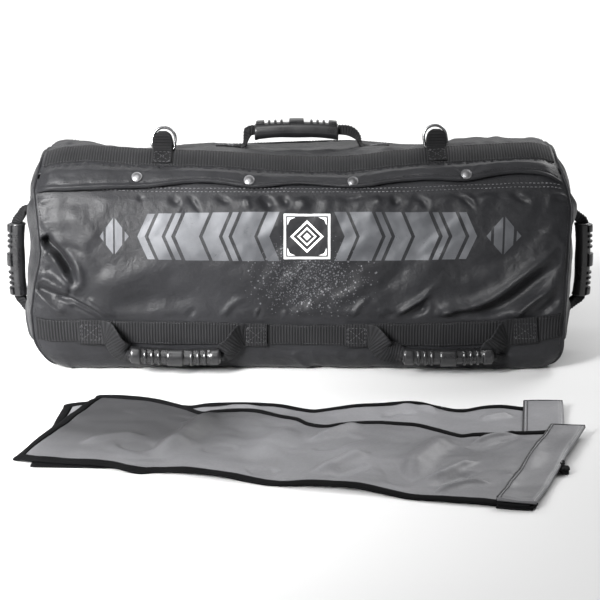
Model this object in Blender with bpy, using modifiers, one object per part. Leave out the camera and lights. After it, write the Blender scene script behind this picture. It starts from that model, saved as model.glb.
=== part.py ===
"""Sandbag trainer: a zipped nylon duffel with seven webbing handles, two rings on
sewn tabs, two filled sand sleeves inside and two empty sleeves laid in front.

Metres, +Z up.  +X runs along the bag, -Y is its front (zip side), the origin is
the centre of the underside.
"""
import bpy
import bmesh
import math
from mathutils import Vector, Matrix

for old in list(bpy.data.objects):
    bpy.data.objects.remove(old, do_unlink=True)

# ------------------------------------------------------------------ dimensions
GAP = 0.0004                    # air between sewn or resting pieces

SKIN = 0.0024                   # doubled nylon
WRAP_HALF = 0.3580              # the tube's own half length, seam to seam
STRAIGHT_HALF = 0.3250          # the section is constant up to here
SEAM_SCALE = 0.955              # section scale at the end seam
DOME = 0.0225                   # how far an end panel bulges past its seam
CENTRE_Z = 0.1450

WEB_WIDE = 0.038                # webbing of bands and handles
WEB = 0.0020
BAND_HALF = 0.3460
TOP_BAND_S = 0.0600             # girth position of a band's upper edge, from the top centre line
LOW_BAND_S = 0.3150

ZIP_S = 0.1110                  # girth position of the zip's centre line
ZIP_SLIT = 0.0080
COIL_WIDE = 0.0060
TAPE_WIDE = 0.0150
SLIDER_X = 0.3150               # slider parked at the closed end
FLAP_S0 = 0.0985
FLAP_S1 = 0.1290
FLAP_LIFT = 0.0057
FLAP_THICK = 0.0018
SNAP_S = 0.1208
SNAP_X = (-0.2175, -0.0650, 0.0760, 0.2300)
CAP_R = 0.0075

GRIP_R = 0.0127
GRIP_COLLAR_R = 0.0137
GRIP_BORE_R = 0.0109
STRAP_WIDE = 0.0200             # webbing folded in half
STRAP_THICK = 0.0046

TOP_AXIS_Z = 0.3105
TOP_GRIP_Z = 0.3145
TOP_GRIP_X = -0.0007
TOP_GRIP_LEN = 0.1170
TOP_BASE = (-0.0763, 0.0918)

LOW_AXIS_Z = 0.0680
LOW_GRIP_Z = 0.0280
LOW_GRIP_OUT = 0.0050           # grip centre outside the hinge line
LOW_GRIP_LEN = 0.1230
LOW_HANDLES = {                 # hinge ends and grip centre along X
    "left": (-0.2620, -0.0740, -0.1660),
    "right": (0.0995, 0.2876, 0.2060),
}
TACK_LEN = 0.0340

END_AXIS_X = 0.3905
END_GRIP_LEN = 0.1050
END_GRIP_Z = 0.1280
END_GRIP_X = {"left": -0.4005, "right": 0.4090}
END_LUG_Z = (0.0500, 0.2060)

RING_X = (-0.1850, 0.1920)
RING_Y = -0.0640
RING_Z = 0.3000
RING_HALF = 0.0155
RING_LEG = 0.0155
RING_WIRE_R = 0.0020
TAB_WIDE = 0.0250
TAB_TOP = 0.0192                # the fold's outer face above the ring's bar
TAB_DEPTH = 0.0102

LOWER_SLEEVE = dict(x=0.0125, y=-0.4100, length=0.6400, width=0.2680, yaw=0.0, z=0.0000)
UPPER_SLEEVE = dict(x=0.0060, y=-0.4490, length=0.6320, width=0.2860, yaw=-13.4, z=0.0065)
SLEEVE_THICK = 0.0060
CUFF_LEN = 0.0780

# the front half of the bag's section, from the top centre line to the bottom one
SECTION = [
    (0.0000, 0.2955), (-0.0450, 0.2962), (-0.0680, 0.2935), (-0.0860, 0.2845),
    (-0.1030, 0.2690), (-0.1185, 0.2480), (-0.1315, 0.2200), (-0.1405, 0.1860),
    (-0.1460, 0.1480), (-0.1475, 0.1100), (-0.1472, 0.0740), (-0.1460, 0.0480),
    (-0.1415, 0.0240), (-0.1310, 0.0072), (-0.1150, 0.0006), (-0.0980, 0.0000),
    (0.0000, 0.0000),
]

# ------------------------------------------------------------------ collections
parts = bpy.data.collections.new("sandbag_trainer")
guides = bpy.data.collections.new("cutters")
for c in (parts, guides):
    bpy.context.scene.collection.children.link(c)


def material(name, colour, rough, metal=0.0):
    m = bpy.data.materials.new(name)
    m.use_nodes = True
    b = m.node_tree.nodes["Principled BSDF"]
    b.inputs["Base Color"].default_value = (*colour, 1.0)
    b.inputs["Roughness"].default_value = rough
    b.inputs["Metallic"].default_value = metal
    m.diffuse_color = (*colour, 1.0)
    return m


NYLON = material("black_nylon", (0.020, 0.021, 0.023), 0.55)
WEBBING = material("black_webbing", (0.016, 0.016, 0.018), 0.70)
RUBBER = material("grip_rubber", (0.030, 0.031, 0.034), 0.38)
STEEL = material("ring_steel", (0.62, 0.62, 0.63), 0.28, 1.0)
SNAP = material("snap_steel", (0.45, 0.46, 0.48), 0.32, 1.0)
COIL = material("zip_nylon", (0.018, 0.018, 0.019), 0.45)
ZINC = material("zip_metal", (0.10, 0.10, 0.11), 0.35, 1.0)
TARP = material("grey_tarpaulin", (0.20, 0.205, 0.215), 0.42)
CUFF = material("grey_cuff", (0.16, 0.165, 0.175), 0.50)


def add(name, mesh, mat, parent=None, at=None):
    """Link a mesh, given in world space, with its origin moved to `at`."""
    ob = bpy.data.objects.new(name, mesh)
    parts.objects.link(ob)
    mesh.materials.clear()
    mesh.materials.append(mat)
    if at is not None:
        mesh.transform(Matrix.Translation(-Vector(at)))
        ob.location = at
    if parent is not None:
        ob.parent = parent
        ob.matrix_parent_inverse = Matrix.Translation(-parent.location)
    return ob


def hinge_empty(name, at):
    e = bpy.data.objects.new(name, None)
    e.location = at
    e.empty_display_size = 0.03
    parts.objects.link(e)
    return e


# ------------------------------------------------------------------ the section
def catmull(points, per):
    """Centripetal Catmull-Rom through the points, mirrored at both ends."""
    pts = [Vector((p[0], p[1])) for p in points]
    pts = [Vector((-pts[1].x, pts[1].y))] + pts + [Vector((-pts[-2].x, pts[-2].y))]
    out = []
    for i in range(1, len(pts) - 2):
        p0, p1, p2, p3 = pts[i - 1:i + 3]
        t1 = (p1 - p0).length ** 0.5
        t2 = t1 + (p2 - p1).length ** 0.5
        t3 = t2 + (p3 - p2).length ** 0.5
        for k in range(per):
            t = t1 + (t2 - t1) * k / per
            a1 = p0 * ((t1 - t) / t1) + p1 * (t / t1)
            a2 = p1 * ((t2 - t) / (t2 - t1)) + p2 * ((t - t1) / (t2 - t1))
            a3 = p2 * ((t3 - t) / (t3 - t2)) + p3 * ((t - t2) / (t3 - t2))
            b1 = a1 * ((t2 - t) / t2) + a2 * (t / t2)
            b2 = a2 * ((t3 - t) / (t3 - t1)) + a3 * ((t - t1) / (t3 - t1))
            out.append(b1 * ((t2 - t) / (t2 - t1)) + b2 * ((t - t1) / (t2 - t1)))
    out.append(pts[-2])
    return out


CURVE = [Vector((p.x, max(p.y, 0.0))) for p in catmull(SECTION, 12)]
GIRTH = [0.0]
for a, b in zip(CURVE, CURVE[1:]):
    GIRTH.append(GIRTH[-1] + (b - a).length)
HALF = GIRTH[-1]


def section(s):
    """Point and outward normal (y, z) at girth position s; positive s is the front."""
    s = (s + HALF) % (2 * HALF) - HALF
    side = 1.0 if s >= 0 else -1.0
    a = min(abs(s), HALF)
    lo, hi = 0, len(GIRTH) - 1
    while hi - lo > 1:
        mid = (lo + hi) // 2
        if GIRTH[mid] <= a:
            lo = mid
        else:
            hi = mid
    k = (a - GIRTH[lo]) / (GIRTH[hi] - GIRTH[lo])
    p = CURVE[lo].lerp(CURVE[hi], k)
    t = (CURVE[min(hi + 1, len(CURVE) - 1)] - CURVE[max(lo - 1, 0)]).normalized()
    n = Vector((t.y, -t.x))
    if side < 0:
        return Vector((-p.x, p.y)), Vector((-n.x, n.y))
    return p, n


def shrink(x):
    k = (abs(x) - STRAIGHT_HALF) / (WRAP_HALF - STRAIGHT_HALF)
    k = max(0.0, min(1.0, k))
    return 1.0 - (1.0 - SEAM_SCALE) * k * k


def surf(x, s, off):
    """World point `off` outside the bag's skin at length x and girth s."""
    p, n = section(s)
    f = shrink(x)
    return Vector((x, p.x * f + n.x * off, CENTRE_Z + (p.y - CENTRE_Z) * f + n.y * off))


def spread(a, b, n):
    return [a + (b - a) * i / (n - 1) for i in range(n)]


def bag_stations(a, b, n_mid):
    """Lengthwise stations: even in the straight run, closer where the ends draw in."""
    xs = [x for x in (-0.358, -0.352, -0.344, -0.335, 0.335, 0.344, 0.352, 0.358) if a < x < b]
    lo, hi = max(a, -STRAIGHT_HALF), min(b, STRAIGHT_HALF)
    if lo < hi:
        xs += spread(lo, hi, n_mid)
    return sorted(set([a, b] + xs))


def cloth(name, xs, ss, off, thick, mat, parent=None, at=None):
    """An open sheet on the bag's surface, thickened outwards with Solidify."""
    bm = bmesh.new()
    rows = []
    for x in xs:
        rows.append([bm.verts.new(surf(x, s, off(s) if callable(off) else off)) for s in ss])
    for r0, r1 in zip(rows, rows[1:]):
        for i in range(len(ss) - 1):
            bm.faces.new((r0[i], r0[i + 1], r1[i + 1], r1[i]))
    bm.normal_update()
    mesh = bpy.data.meshes.new(name)
    bm.to_mesh(mesh)
    bm.free()
    ob = add(name, mesh, mat, parent, at)
    mod = ob.modifiers.new("thickness", "SOLIDIFY")
    mod.thickness = thick
    mod.offset = 1.0
    mod.use_even_offset = True
    return ob


def loft(name, rings, mat, parent=None, at=None):
    """A closed solid through equal-length rings of points, both ends capped."""
    bm = bmesh.new()
    loops = [[bm.verts.new(p) for p in ring] for ring in rings]
    n = len(loops[0])
    for l0, l1 in zip(loops, loops[1:]):
        for i in range(n):
            j = (i + 1) % n
            bm.faces.new((l0[i], l0[j], l1[j], l1[i]))
    bm.faces.new(list(reversed(loops[0])))
    bm.faces.new(loops[-1])
    bmesh.ops.recalc_face_normals(bm, faces=bm.faces)
    mesh = bpy.data.meshes.new(name)
    bm.to_mesh(mesh)
    bm.free()
    return add(name, mesh, mat, parent, at)


def web_path(path, side, wide, thick):
    """Rings of a webbing strap: path points, the width's direction, sizes per point."""
    rings = []
    side = Vector(side).normalized()
    for i, p in enumerate(path):
        a = path[max(i - 1, 0)]
        b = path[min(i + 1, len(path) - 1)]
        t = (Vector(b) - Vector(a)).normalized()
        n = side.cross(t).normalized()
        w = wide[i] / 2 if isinstance(wide, (list, tuple)) else wide / 2
        h = thick[i] / 2 if isinstance(thick, (list, tuple)) else thick / 2
        p = Vector(p)
        rings.append([p + side * w + n * h, p - side * w + n * h,
                      p - side * w - n * h, p + side * w - n * h])
    return rings


def grip(name, centre, along, length, mat, parent):
    """A moulded tube with end and centre collars: a turned profile about its length."""
    h = length / 2
    c, e = 0.010, 0.008
    outline = [(GRIP_BORE_R, h), (GRIP_COLLAR_R, h), (GRIP_COLLAR_R, h - c), (GRIP_R, h - c - 0.001),
               (GRIP_R, e + 0.001), (GRIP_COLLAR_R, e), (GRIP_COLLAR_R, -e), (GRIP_R, -e - 0.001),
               (GRIP_R, -h + c + 0.001), (GRIP_COLLAR_R, -h + c), (GRIP_COLLAR_R, -h), (GRIP_BORE_R, -h)]
    bm = bmesh.new()
    vs = [bm.verts.new((r, 0, z)) for r, z in outline]
    for i in range(len(vs)):
        bm.edges.new((vs[i], vs[(i + 1) % len(vs)]))
    mesh = bpy.data.meshes.new(name)
    bm.to_mesh(mesh)
    bm.free()
    ob = bpy.data.objects.new(name, mesh)
    parts.objects.link(ob)
    mesh.materials.append(mat)
    rot = Vector((0, 0, 1)).rotation_difference(Vector(along))
    ob.rotation_mode = "QUATERNION"
    ob.rotation_quaternion = rot
    ob.location = centre
    if parent is not None:
        ob.parent = parent
        ob.matrix_parent_inverse = Matrix.Translation(-parent.location)
    mod = ob.modifiers.new("turn", "SCREW")
    mod.angle = 2 * math.pi
    mod.steps = mod.render_steps = 18
    mod.use_merge_vertices = True
    mod.merge_threshold = 0.00005
    return ob


# ------------------------------------------------------------------ bag shell
knots = []                      # girth stations, closer together where the section turns
for i in range(len(SECTION) - 1):
    a, b = GIRTH[i * 12], GIRTH[(i + 1) * 12]
    knots += [a, (a + b) / 2]
knots.append(HALF)
slit_a, slit_b = ZIP_S - ZIP_SLIT / 2, ZIP_S + ZIP_SLIT / 2
girth = [slit_b] + [s for s in knots[:-1] if s > slit_b + 0.003]
girth += [2 * HALF - s for s in reversed(knots[1:-1])] + [2 * HALF]
girth += [2 * HALF + s for s in knots[1:] if s < slit_a - 0.003] + [2 * HALF + slit_a]
cloth("wrap_shell", bag_stations(-WRAP_HALF, WRAP_HALF, 2), girth, -SKIN, SKIN, NYLON)

RIM_IN = SKIN + GAP


def rim_point(s, k, sign):
    """A point of an end panel: k = 1 at its rim, 0 at its middle."""
    x = WRAP_HALF - 0.0005
    p, n = section(s)
    f = shrink(x)
    y = p.x * f - n.x * RIM_IN
    z = CENTRE_Z + (p.y - CENTRE_Z) * f - n.y * RIM_IN
    return Vector((sign * (x + DOME * (1 - k ** 3)), y * k, CENTRE_Z + (z - CENTRE_Z) * k))


def dome_x(z):
    top = CENTRE_Z + (SECTION[0][1] - CENTRE_Z) * SEAM_SCALE - RIM_IN
    low = CENTRE_Z - CENTRE_Z * SEAM_SCALE + RIM_IN
    k = (z - CENTRE_Z) / (top - CENTRE_Z) if z > CENTRE_Z else (CENTRE_Z - z) / (CENTRE_Z - low)
    return WRAP_HALF - 0.0005 + DOME * (1 - min(1.0, k) ** 3)


for sign, name in ((-1, "left_end_panel"), (1, "right_end_panel")):
    bm = bmesh.new()
    around = girth
    loops = [[bm.verts.new(rim_point(s, k, sign)) for s in around] for k in (1.0, 0.93, 0.8, 0.6, 0.35)]
    mid = bm.verts.new((sign * (WRAP_HALF - 0.0005 + DOME), 0, CENTRE_Z))
    n = len(around)
    for l0, l1 in zip(loops, loops[1:]):
        for i in range(n):
            bm.faces.new((l0[i], l0[(i + 1) % n], l1[(i + 1) % n], l1[i]))
    for i in range(n):
        bm.faces.new((loops[-1][i], loops[-1][(i + 1) % n], mid))
    bmesh.ops.recalc_face_normals(bm, faces=bm.faces)
    if bm.faces[0].normal.x * sign < 0 and bm.faces[-1].normal.x * sign < 0:
        bmesh.ops.reverse_faces(bm, faces=bm.faces)
    mesh = bpy.data.meshes.new(name)
    bm.to_mesh(mesh)
    bm.free()
    ob = add(name, mesh, NYLON)
    mod = ob.modifiers.new("thickness", "SOLIDIFY")
    mod.thickness = SKIN
    mod.offset = -1.0

# ------------------------------------------------------------------ bands
for name, s0, sign in (("top_front_band", TOP_BAND_S, 1), ("top_rear_band", TOP_BAND_S, -1),
                       ("lower_front_band", LOW_BAND_S, 1), ("lower_rear_band", LOW_BAND_S, -1)):
    ss = spread(s0, s0 + WEB_WIDE, 5)
    if sign < 0:
        ss = [-s for s in reversed(ss)]
    cloth(name, bag_stations(-BAND_HALF, BAND_HALF, 7), ss, GAP, WEB, WEBBING)

# ------------------------------------------------------------------ zip, under the flap
tape_low = -SKIN - GAP - 0.0008
xs = bag_stations(-0.350, 0.350, 5)
cloth("zip_tape_upper", xs, spread(ZIP_S - COIL_WIDE / 2 - 0.0004 - TAPE_WIDE, ZIP_S - COIL_WIDE / 2 - 0.0004, 4),
      tape_low, 0.0008, COIL)
cloth("zip_tape_lower", xs, spread(ZIP_S + COIL_WIDE / 2 + 0.0004, ZIP_S + COIL_WIDE / 2 + 0.0004 + TAPE_WIDE, 4),
      tape_low, 0.0008, COIL)
cloth("zip_coil", xs, spread(ZIP_S - COIL_WIDE / 2, ZIP_S + COIL_WIDE / 2, 3), -0.0032, 0.0026, COIL)


def on_surface(x, s, off):
    """Placement matrix whose Z is the surface normal and whose X runs along the bag."""
    p, n = section(s)
    z = Vector((0, n.x, n.y)).normalized()
    xx = Vector((1, 0, 0))
    y = z.cross(xx)
    m = Matrix((xx, y, z)).transposed().to_4x4()
    return Matrix.Translation(surf(x, s, off)) @ m


def block(name, size, matrix, mat, bevel, parent=None):
    """A primitive box with rounded edges at a world matrix."""
    bpy.ops.mesh.primitive_cube_add(size=1.0)
    ob = bpy.context.active_object
    for c in list(ob.users_collection):
        c.objects.unlink(ob)
    parts.objects.link(ob)
    ob.name = name
    ob.data.name = name
    ob.data.transform(Matrix.Diagonal((*size, 1.0)))
    ob.data.materials.append(mat)
    ob.matrix_world = matrix
    if parent is not None:
        ob.parent = parent
        ob.matrix_parent_inverse = Matrix.Translation(-parent.location)
    if bevel:
        mod = ob.modifiers.new("edges", "BEVEL")
        mod.width = bevel
        mod.segments = 1
    return ob


slider_pivot = hinge_empty("zip_slider_origin", surf(SLIDER_X, ZIP_S, 0.0018))
slider_body = block("slider_body", (0.0115, 0.0070, 0.0034), on_surface(SLIDER_X, ZIP_S, 0.0002 + 0.0017), ZINC,
                    0.0006, slider_pivot)
block("pull_tab", (0.0260, 0.0062, 0.0010), on_surface(SLIDER_X - 0.0110, ZIP_S, 0.0002 + 0.0034 + GAP + 0.0005), ZINC,
      0.0002, slider_pivot)

# ------------------------------------------------------------------ closing flap
flap_under = 0.0026
FLAP_PIVOT = surf(0.0, FLAP_S0 - 0.0002, flap_under + FLAP_THICK)
flap_origin = hinge_empty("flap_hinge_line", FLAP_PIVOT)


def flap_off(s):
    k = max(0.0, min(1.0, (s - FLAP_S0) / 0.006))
    return flap_under + (FLAP_LIFT - flap_under) * k * k * (3 - 2 * k)


cloth("closure_flap", bag_stations(-0.3400, 0.3400, 9),
      [FLAP_S0, FLAP_S0 + 0.002, FLAP_S0 + 0.004, FLAP_S0 + 0.006] + spread(FLAP_S0 + 0.011, FLAP_S1, 4),
      flap_off, FLAP_THICK, NYLON, flap_origin, FLAP_PIVOT)


def button(name, r, depth, matrix, dome, mat, parent=None):
    """A pressed metal disc: a turned profile with a rounded face."""
    outline = [(0.0, depth), (r * 0.55, depth), (r * 0.85, depth - dome * 0.35), (r, depth - dome), (r, 0.0), (0.0, 0.0)]
    bm = bmesh.new()
    vs = [bm.verts.new((a, 0, b)) for a, b in outline]
    for i in range(len(vs) - 1):
        bm.edges.new((vs[i], vs[i + 1]))
    mesh = bpy.data.meshes.new(name)
    bm.to_mesh(mesh)
    bm.free()
    ob = bpy.data.objects.new(name, mesh)
    parts.objects.link(ob)
    mesh.materials.append(mat)
    ob.matrix_world = matrix
    if parent is not None:
        ob.parent = parent
        ob.matrix_parent_inverse = Matrix.Translation(-parent.location)
    mod = ob.modifiers.new("turn", "SCREW")
    mod.angle = 2 * math.pi
    mod.steps = mod.render_steps = 16
    mod.use_merge_vertices = True
    mod.merge_threshold = 0.00005
    return ob


for i, x in enumerate(SNAP_X, 1):
    button("snap_stud_%d" % i, 0.0050, 0.0034, on_surface(x, SNAP_S, GAP), 0.0012, SNAP)
    button("snap_cap_%d" % i, CAP_R, 0.0019, on_surface(x, SNAP_S, FLAP_LIFT + FLAP_THICK + 0.0007), 0.0011, SNAP,
           flap_origin)

# ------------------------------------------------------------------ ring tabs and rings
for x, side in zip(RING_X, ("left", "right")):
    # the webbing: sewn on the band, up behind the bar, folded over, down in front and sewn again
    inner = TAB_DEPTH / 2 - WEB / 2
    top = RING_Z + TAB_TOP - WEB / 2
    path = []
    for s in spread(0.0900, TOP_BAND_S + 0.0120, 4):
        p = surf(0, s, GAP + WEB + GAP + WEB / 2)
        path.append((x, p.y, p.z))
    path.append((x, RING_Y - inner, RING_Z - 0.0015))
    path.append((x, RING_Y - inner, top - inner))
    for k in range(1, 6):
        a = math.pi * k / 6
        path.append((x, RING_Y - inner * math.cos(a), top - inner + inner * math.sin(a)))
    path.append((x, RING_Y + inner, top - inner))
    path.append((x, RING_Y + inner, RING_Z - 0.0012))
    path.append((x, RING_Y + inner + 0.0140, 0.2960 + GAP + WEB / 2 + 0.0002))
    path.append((x, RING_Y + inner + 0.0240, 0.2962 + GAP + WEB / 2 + 0.0002))
    loft("ring_tab_" + side, web_path(path, (1, 0, 0), TAB_WIDE, WEB), WEBBING)

    pts = [(-RING_HALF, 0.0), (-RING_HALF, RING_LEG * 0.5)]
    for k in range(0, 13):
        a = math.pi * (1 - k / 12)
        pts.append((RING_HALF * math.cos(a), RING_LEG + RING_HALF * math.sin(a)))
    pts += [(RING_HALF, RING_LEG * 0.5), (RING_HALF, 0.0), (RING_HALF - 0.002, -0.0004), (0.0, -0.0004), (-RING_HALF + 0.002, -0.0004)]
    cu = bpy.data.curves.new("d_ring_" + side, "CURVE")
    cu.dimensions = "3D"
    cu.bevel_depth = RING_WIRE_R
    cu.bevel_resolution = 2
    sp = cu.splines.new("POLY")
    sp.points.add(len(pts) - 1)
    for q, (px, pz) in zip(sp.points, pts):
        q.co = (px, 0.0, pz, 1.0)
    sp.use_cyclic_u = True
    ob = bpy.data.objects.new("d_ring_" + side, cu)
    parts.objects.link(ob)
    cu.materials.append(STEEL)
    ob.location = (x, RING_Y, RING_Z)

# ------------------------------------------------------------------ top handle
tz = 0.2962 + GAP + WEB / 2 + 0.0001
for x, side, sign in ((TOP_BASE[0], "left", -1), (TOP_BASE[1], "right", 1)):
    path = [(x + sign * 0.040, 0, tz), (x + sign * 0.016, 0, tz), (x + sign * 0.009, 0, tz + 0.0004),
            (x + sign * 0.003, 0, tz + 0.0040), (x - sign * 0.001, 0, TOP_AXIS_Z - 0.0020)]
    loft("top_tack_" + side, web_path(path, (0, 1, 0), [WEB_WIDE, WEB_WIDE, 0.034, 0.024, STRAP_WIDE],
                                      [WEB, WEB, 0.0026, 0.0036, STRAP_THICK]), WEBBING)
pivot = hinge_empty("top_handle_hinge", (0, 0, TOP_AXIS_Z))
x0, x1 = TOP_BASE[0] + 0.0042, TOP_BASE[1] - 0.0042
path = [(x0, 0, TOP_AXIS_Z), (x0 + 0.006, 0, TOP_AXIS_Z + 0.0026), (TOP_GRIP_X - TOP_GRIP_LEN / 2, 0, TOP_GRIP_Z)]
path += [(TOP_GRIP_X + TOP_GRIP_LEN / 2, 0, TOP_GRIP_Z), (TOP_GRIP_X + TOP_GRIP_LEN / 2 + 0.012, 0, TOP_GRIP_Z - 0.0006),
         (x1 - 0.007, 0, TOP_AXIS_Z + 0.0026), (x1, 0, TOP_AXIS_Z)]
loft("top_handle_strap", web_path(path, (0, 1, 0), STRAP_WIDE, STRAP_THICK), WEBBING, pivot, pivot.location)
grip("top_handle_grip", (TOP_GRIP_X, 0, TOP_GRIP_Z), (1, 0, 0), TOP_GRIP_LEN, RUBBER, pivot)

# ------------------------------------------------------------------ lower handles, front and rear
BAND_FACE = abs(surf(0, LOW_BAND_S + 0.0080, GAP + WEB).y)
LOW_AXIS_Y = BAND_FACE + 0.0010 + STRAP_THICK
for face, fs in (("front", 1), ("rear", -1)):
    for side, (xa, xb, xg) in LOW_HANDLES.items():
        stem = "%s_%s" % (face, side)
        for tag, x0, x1 in (("a", xa - TACK_LEN, xa), ("b", xb, xb + TACK_LEN)):
            ss = spread(LOW_BAND_S + 0.0012, LOW_BAND_S + WEB_WIDE - 0.0012, 5)
            if fs < 0:
                ss = [-s for s in reversed(ss)]
            cloth("%s_tack_%s" % (stem, tag), spread(x0, x1, 3), ss, GAP + WEB + GAP, WEB, WEBBING)
        axis = (0, -fs * LOW_AXIS_Y, LOW_AXIS_Z)
        pivot = hinge_empty("%s_handle_hinge" % stem, ((xa + xb) / 2, axis[1], LOW_AXIS_Z))
        h = LOW_GRIP_LEN / 2
        gy = -fs * (LOW_AXIS_Y + LOW_GRIP_OUT)
        # the folded strap hangs below the hinge line; its width turns from upright to level-ish in the grip
        la, lb = xg - h - xa, xb - xg - h
        ya, yb = -fs * (LOW_AXIS_Y - STRAP_THICK / 2), -fs * (LOW_AXIS_Y + 0.0010)
        za = LOW_AXIS_Z - STRAP_WIDE / 2
        stations = [
            (xa + GAP, ya, za), (xa + la * 0.20, ya, za - 0.0035), (xa + la * 0.56, yb, LOW_GRIP_Z + 0.0160),
            (xa + la - 0.0055, gy, LOW_GRIP_Z), (xa + la + 0.0050, gy, LOW_GRIP_Z),
            (xb - lb - 0.0050, gy, LOW_GRIP_Z), (xb - lb + 0.0055, gy, LOW_GRIP_Z),
            (xb - lb * 0.56, yb, LOW_GRIP_Z + 0.0160), (xb - lb * 0.20, ya, za - 0.0035), (xb - GAP, ya, za),
        ]
        half_w = [0.0100, 0.0096, 0.0078, 0.0070, 0.0070, 0.0070, 0.0070, 0.0078, 0.0096, 0.0100]
        half_t = [0.0023, 0.0024, 0.0028, 0.0032, 0.0032, 0.0032, 0.0032, 0.0028, 0.0024, 0.0023]
        # across the strap the thickness points out of the bag all the way
        rings = []
        for i, p in enumerate(stations):
            a = Vector(stations[max(i - 1, 0)])
            b = Vector(stations[min(i + 1, len(stations) - 1)])
            t = (b - a).normalized()
            if i in (0, 1, len(stations) - 2, len(stations) - 1):
                t = Vector((1, 0, 0))
            n = Vector((0, 1, 0)) - t * t.y
            n.normalize()
            w = n.cross(t).normalized()
            hw, ht = half_w[i], half_t[i]
            p = Vector(p)
            rings.append([p + w * hw + n * ht, p - w * hw + n * ht, p - w * hw - n * ht, p + w * hw - n * ht])
        loft("%s_handle_strap" % stem, rings, WEBBING, pivot, pivot.location)
        grip("%s_handle_grip" % stem, (xg, gy, LOW_GRIP_Z), (1, 0, 0), LOW_GRIP_LEN, RUBBER, pivot)

# ------------------------------------------------------------------ end handles
for side, sign in (("left", -1), ("right", 1)):
    for tag, zl, up in (("lower", END_LUG_Z[0], -1), ("upper", END_LUG_Z[1], 1)):
        path = []
        for dz in (0.036, 0.024, 0.012):
            z = zl + up * dz
            path.append((sign * (dome_x(z) + GAP + 0.0005 + WEB / 2), 0, z))
        path.append((sign * (dome_x(zl + up * 0.006) + 0.0036), 0, zl + up * 0.0060))
        path.append((sign * (END_AXIS_X - 0.0010), 0, zl + up * 0.0012))
        loft("%s_end_tack_%s" % (side, tag),
             web_path(path, (0, 1, 0), [WEB_WIDE - 0.002, WEB_WIDE - 0.002, 0.032, 0.026, STRAP_WIDE],
                      [WEB, WEB, 0.0026, 0.0034, STRAP_THICK]), WEBBING)
    pivot = hinge_empty("%s_end_handle_hinge" % side, (sign * END_AXIS_X, 0, END_GRIP_Z))
    xg = END_GRIP_X[side]
    h = END_GRIP_LEN / 2
    z0, z1 = END_LUG_Z[0] + 0.0016, END_LUG_Z[1] - 0.0016
    path = [(sign * END_AXIS_X, 0, z0), (sign * (END_AXIS_X + 0.0010), 0, z0 + 0.004),
            (xg * 0.5 + sign * END_AXIS_X * 0.5, 0, (z0 + END_GRIP_Z - h) / 2 + 0.001),
            (xg, 0, END_GRIP_Z - h), (xg, 0, END_GRIP_Z + h),
            (xg * 0.5 + sign * END_AXIS_X * 0.5, 0, (z1 + END_GRIP_Z + h) / 2 - 0.001),
            (sign * (END_AXIS_X + 0.0010), 0, z1 - 0.004), (sign * END_AXIS_X, 0, z1)]
    loft("%s_end_handle_strap" % side, web_path(path, (0, 1, 0), STRAP_WIDE, STRAP_THICK), WEBBING, pivot, pivot.location)
    grip("%s_end_handle_grip" % side, (xg, 0, END_GRIP_Z), (0, 0, 1), END_GRIP_LEN, RUBBER, pivot)

# ------------------------------------------------------------------ filled sand sleeves in the bag
for name, y in (("filled_filler_front", -0.0635), ("filled_filler_rear", 0.0635)):
    bpy.ops.mesh.primitive_cube_add(size=1.0)
    ob = bpy.context.active_object
    for c in list(ob.users_collection):
        c.objects.unlink(ob)
    parts.objects.link(ob)
    ob.name = name
    ob.data.name = name
    ob.data.transform(Matrix.Diagonal((0.690, 0.124, 0.262, 1.0)))
    bm = bmesh.new()
    bm.from_mesh(ob.data)
    bmesh.ops.bevel(bm, geom=bm.edges[:], offset=0.022, segments=1, affect="EDGES", profile=0.5)
    bm.to_mesh(ob.data)
    bm.free()
    ob.data.materials.append(TARP)
    ob.location = (0, y, 0.1370)
    mod = ob.modifiers.new("soft", "SUBSURF")
    mod.levels = mod.render_levels = 1

# ------------------------------------------------------------------ empty sleeves in front
def sleeve(tag, d, parent_name):
    yaw = math.radians(d["yaw"])
    rot = Matrix.Rotation(yaw, 4, "Z")
    z = d["z"] + SLEEVE_THICK / 2
    body_len = d["length"] - CUFF_LEN - GAP
    e = hinge_empty("filler_%s_origin" % tag, (d["x"], d["y"], d["z"]))
    cx = -d["length"] / 2 + body_len / 2
    at = Vector((d["x"], d["y"], z))
    block("filler_%s_sleeve" % tag, (body_len, d["width"], SLEEVE_THICK),
          Matrix.Translation(at + rot @ Vector((cx, 0, 0))) @ rot, TARP, 0.0012, e)
    cx = d["length"] / 2 - CUFF_LEN / 2
    block("filler_%s_cuff" % tag, (CUFF_LEN, d["width"] + 0.004, SLEEVE_THICK),
          Matrix.Translation(at + rot @ Vector((cx, 0, 0))) @ rot, CUFF, 0.0012, e)


sleeve("lower", LOWER_SLEEVE, "bag")
sleeve("upper", UPPER_SLEEVE, "filler_lower")
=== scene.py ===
"""The looks of the sandbag trainer: cloth, webbing, moulded grips, rings, snaps, zip,
sand sleeves, floor, light and camera.  Everything is in metres in the part's own frame:
+X along the bag, -Y its zip side, the origin at the centre of the underside.
"""
import bpy
import bmesh
import math
import numpy as np
from mathutils import Vector, Matrix
from mathutils.bvhtree import BVHTree


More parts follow.
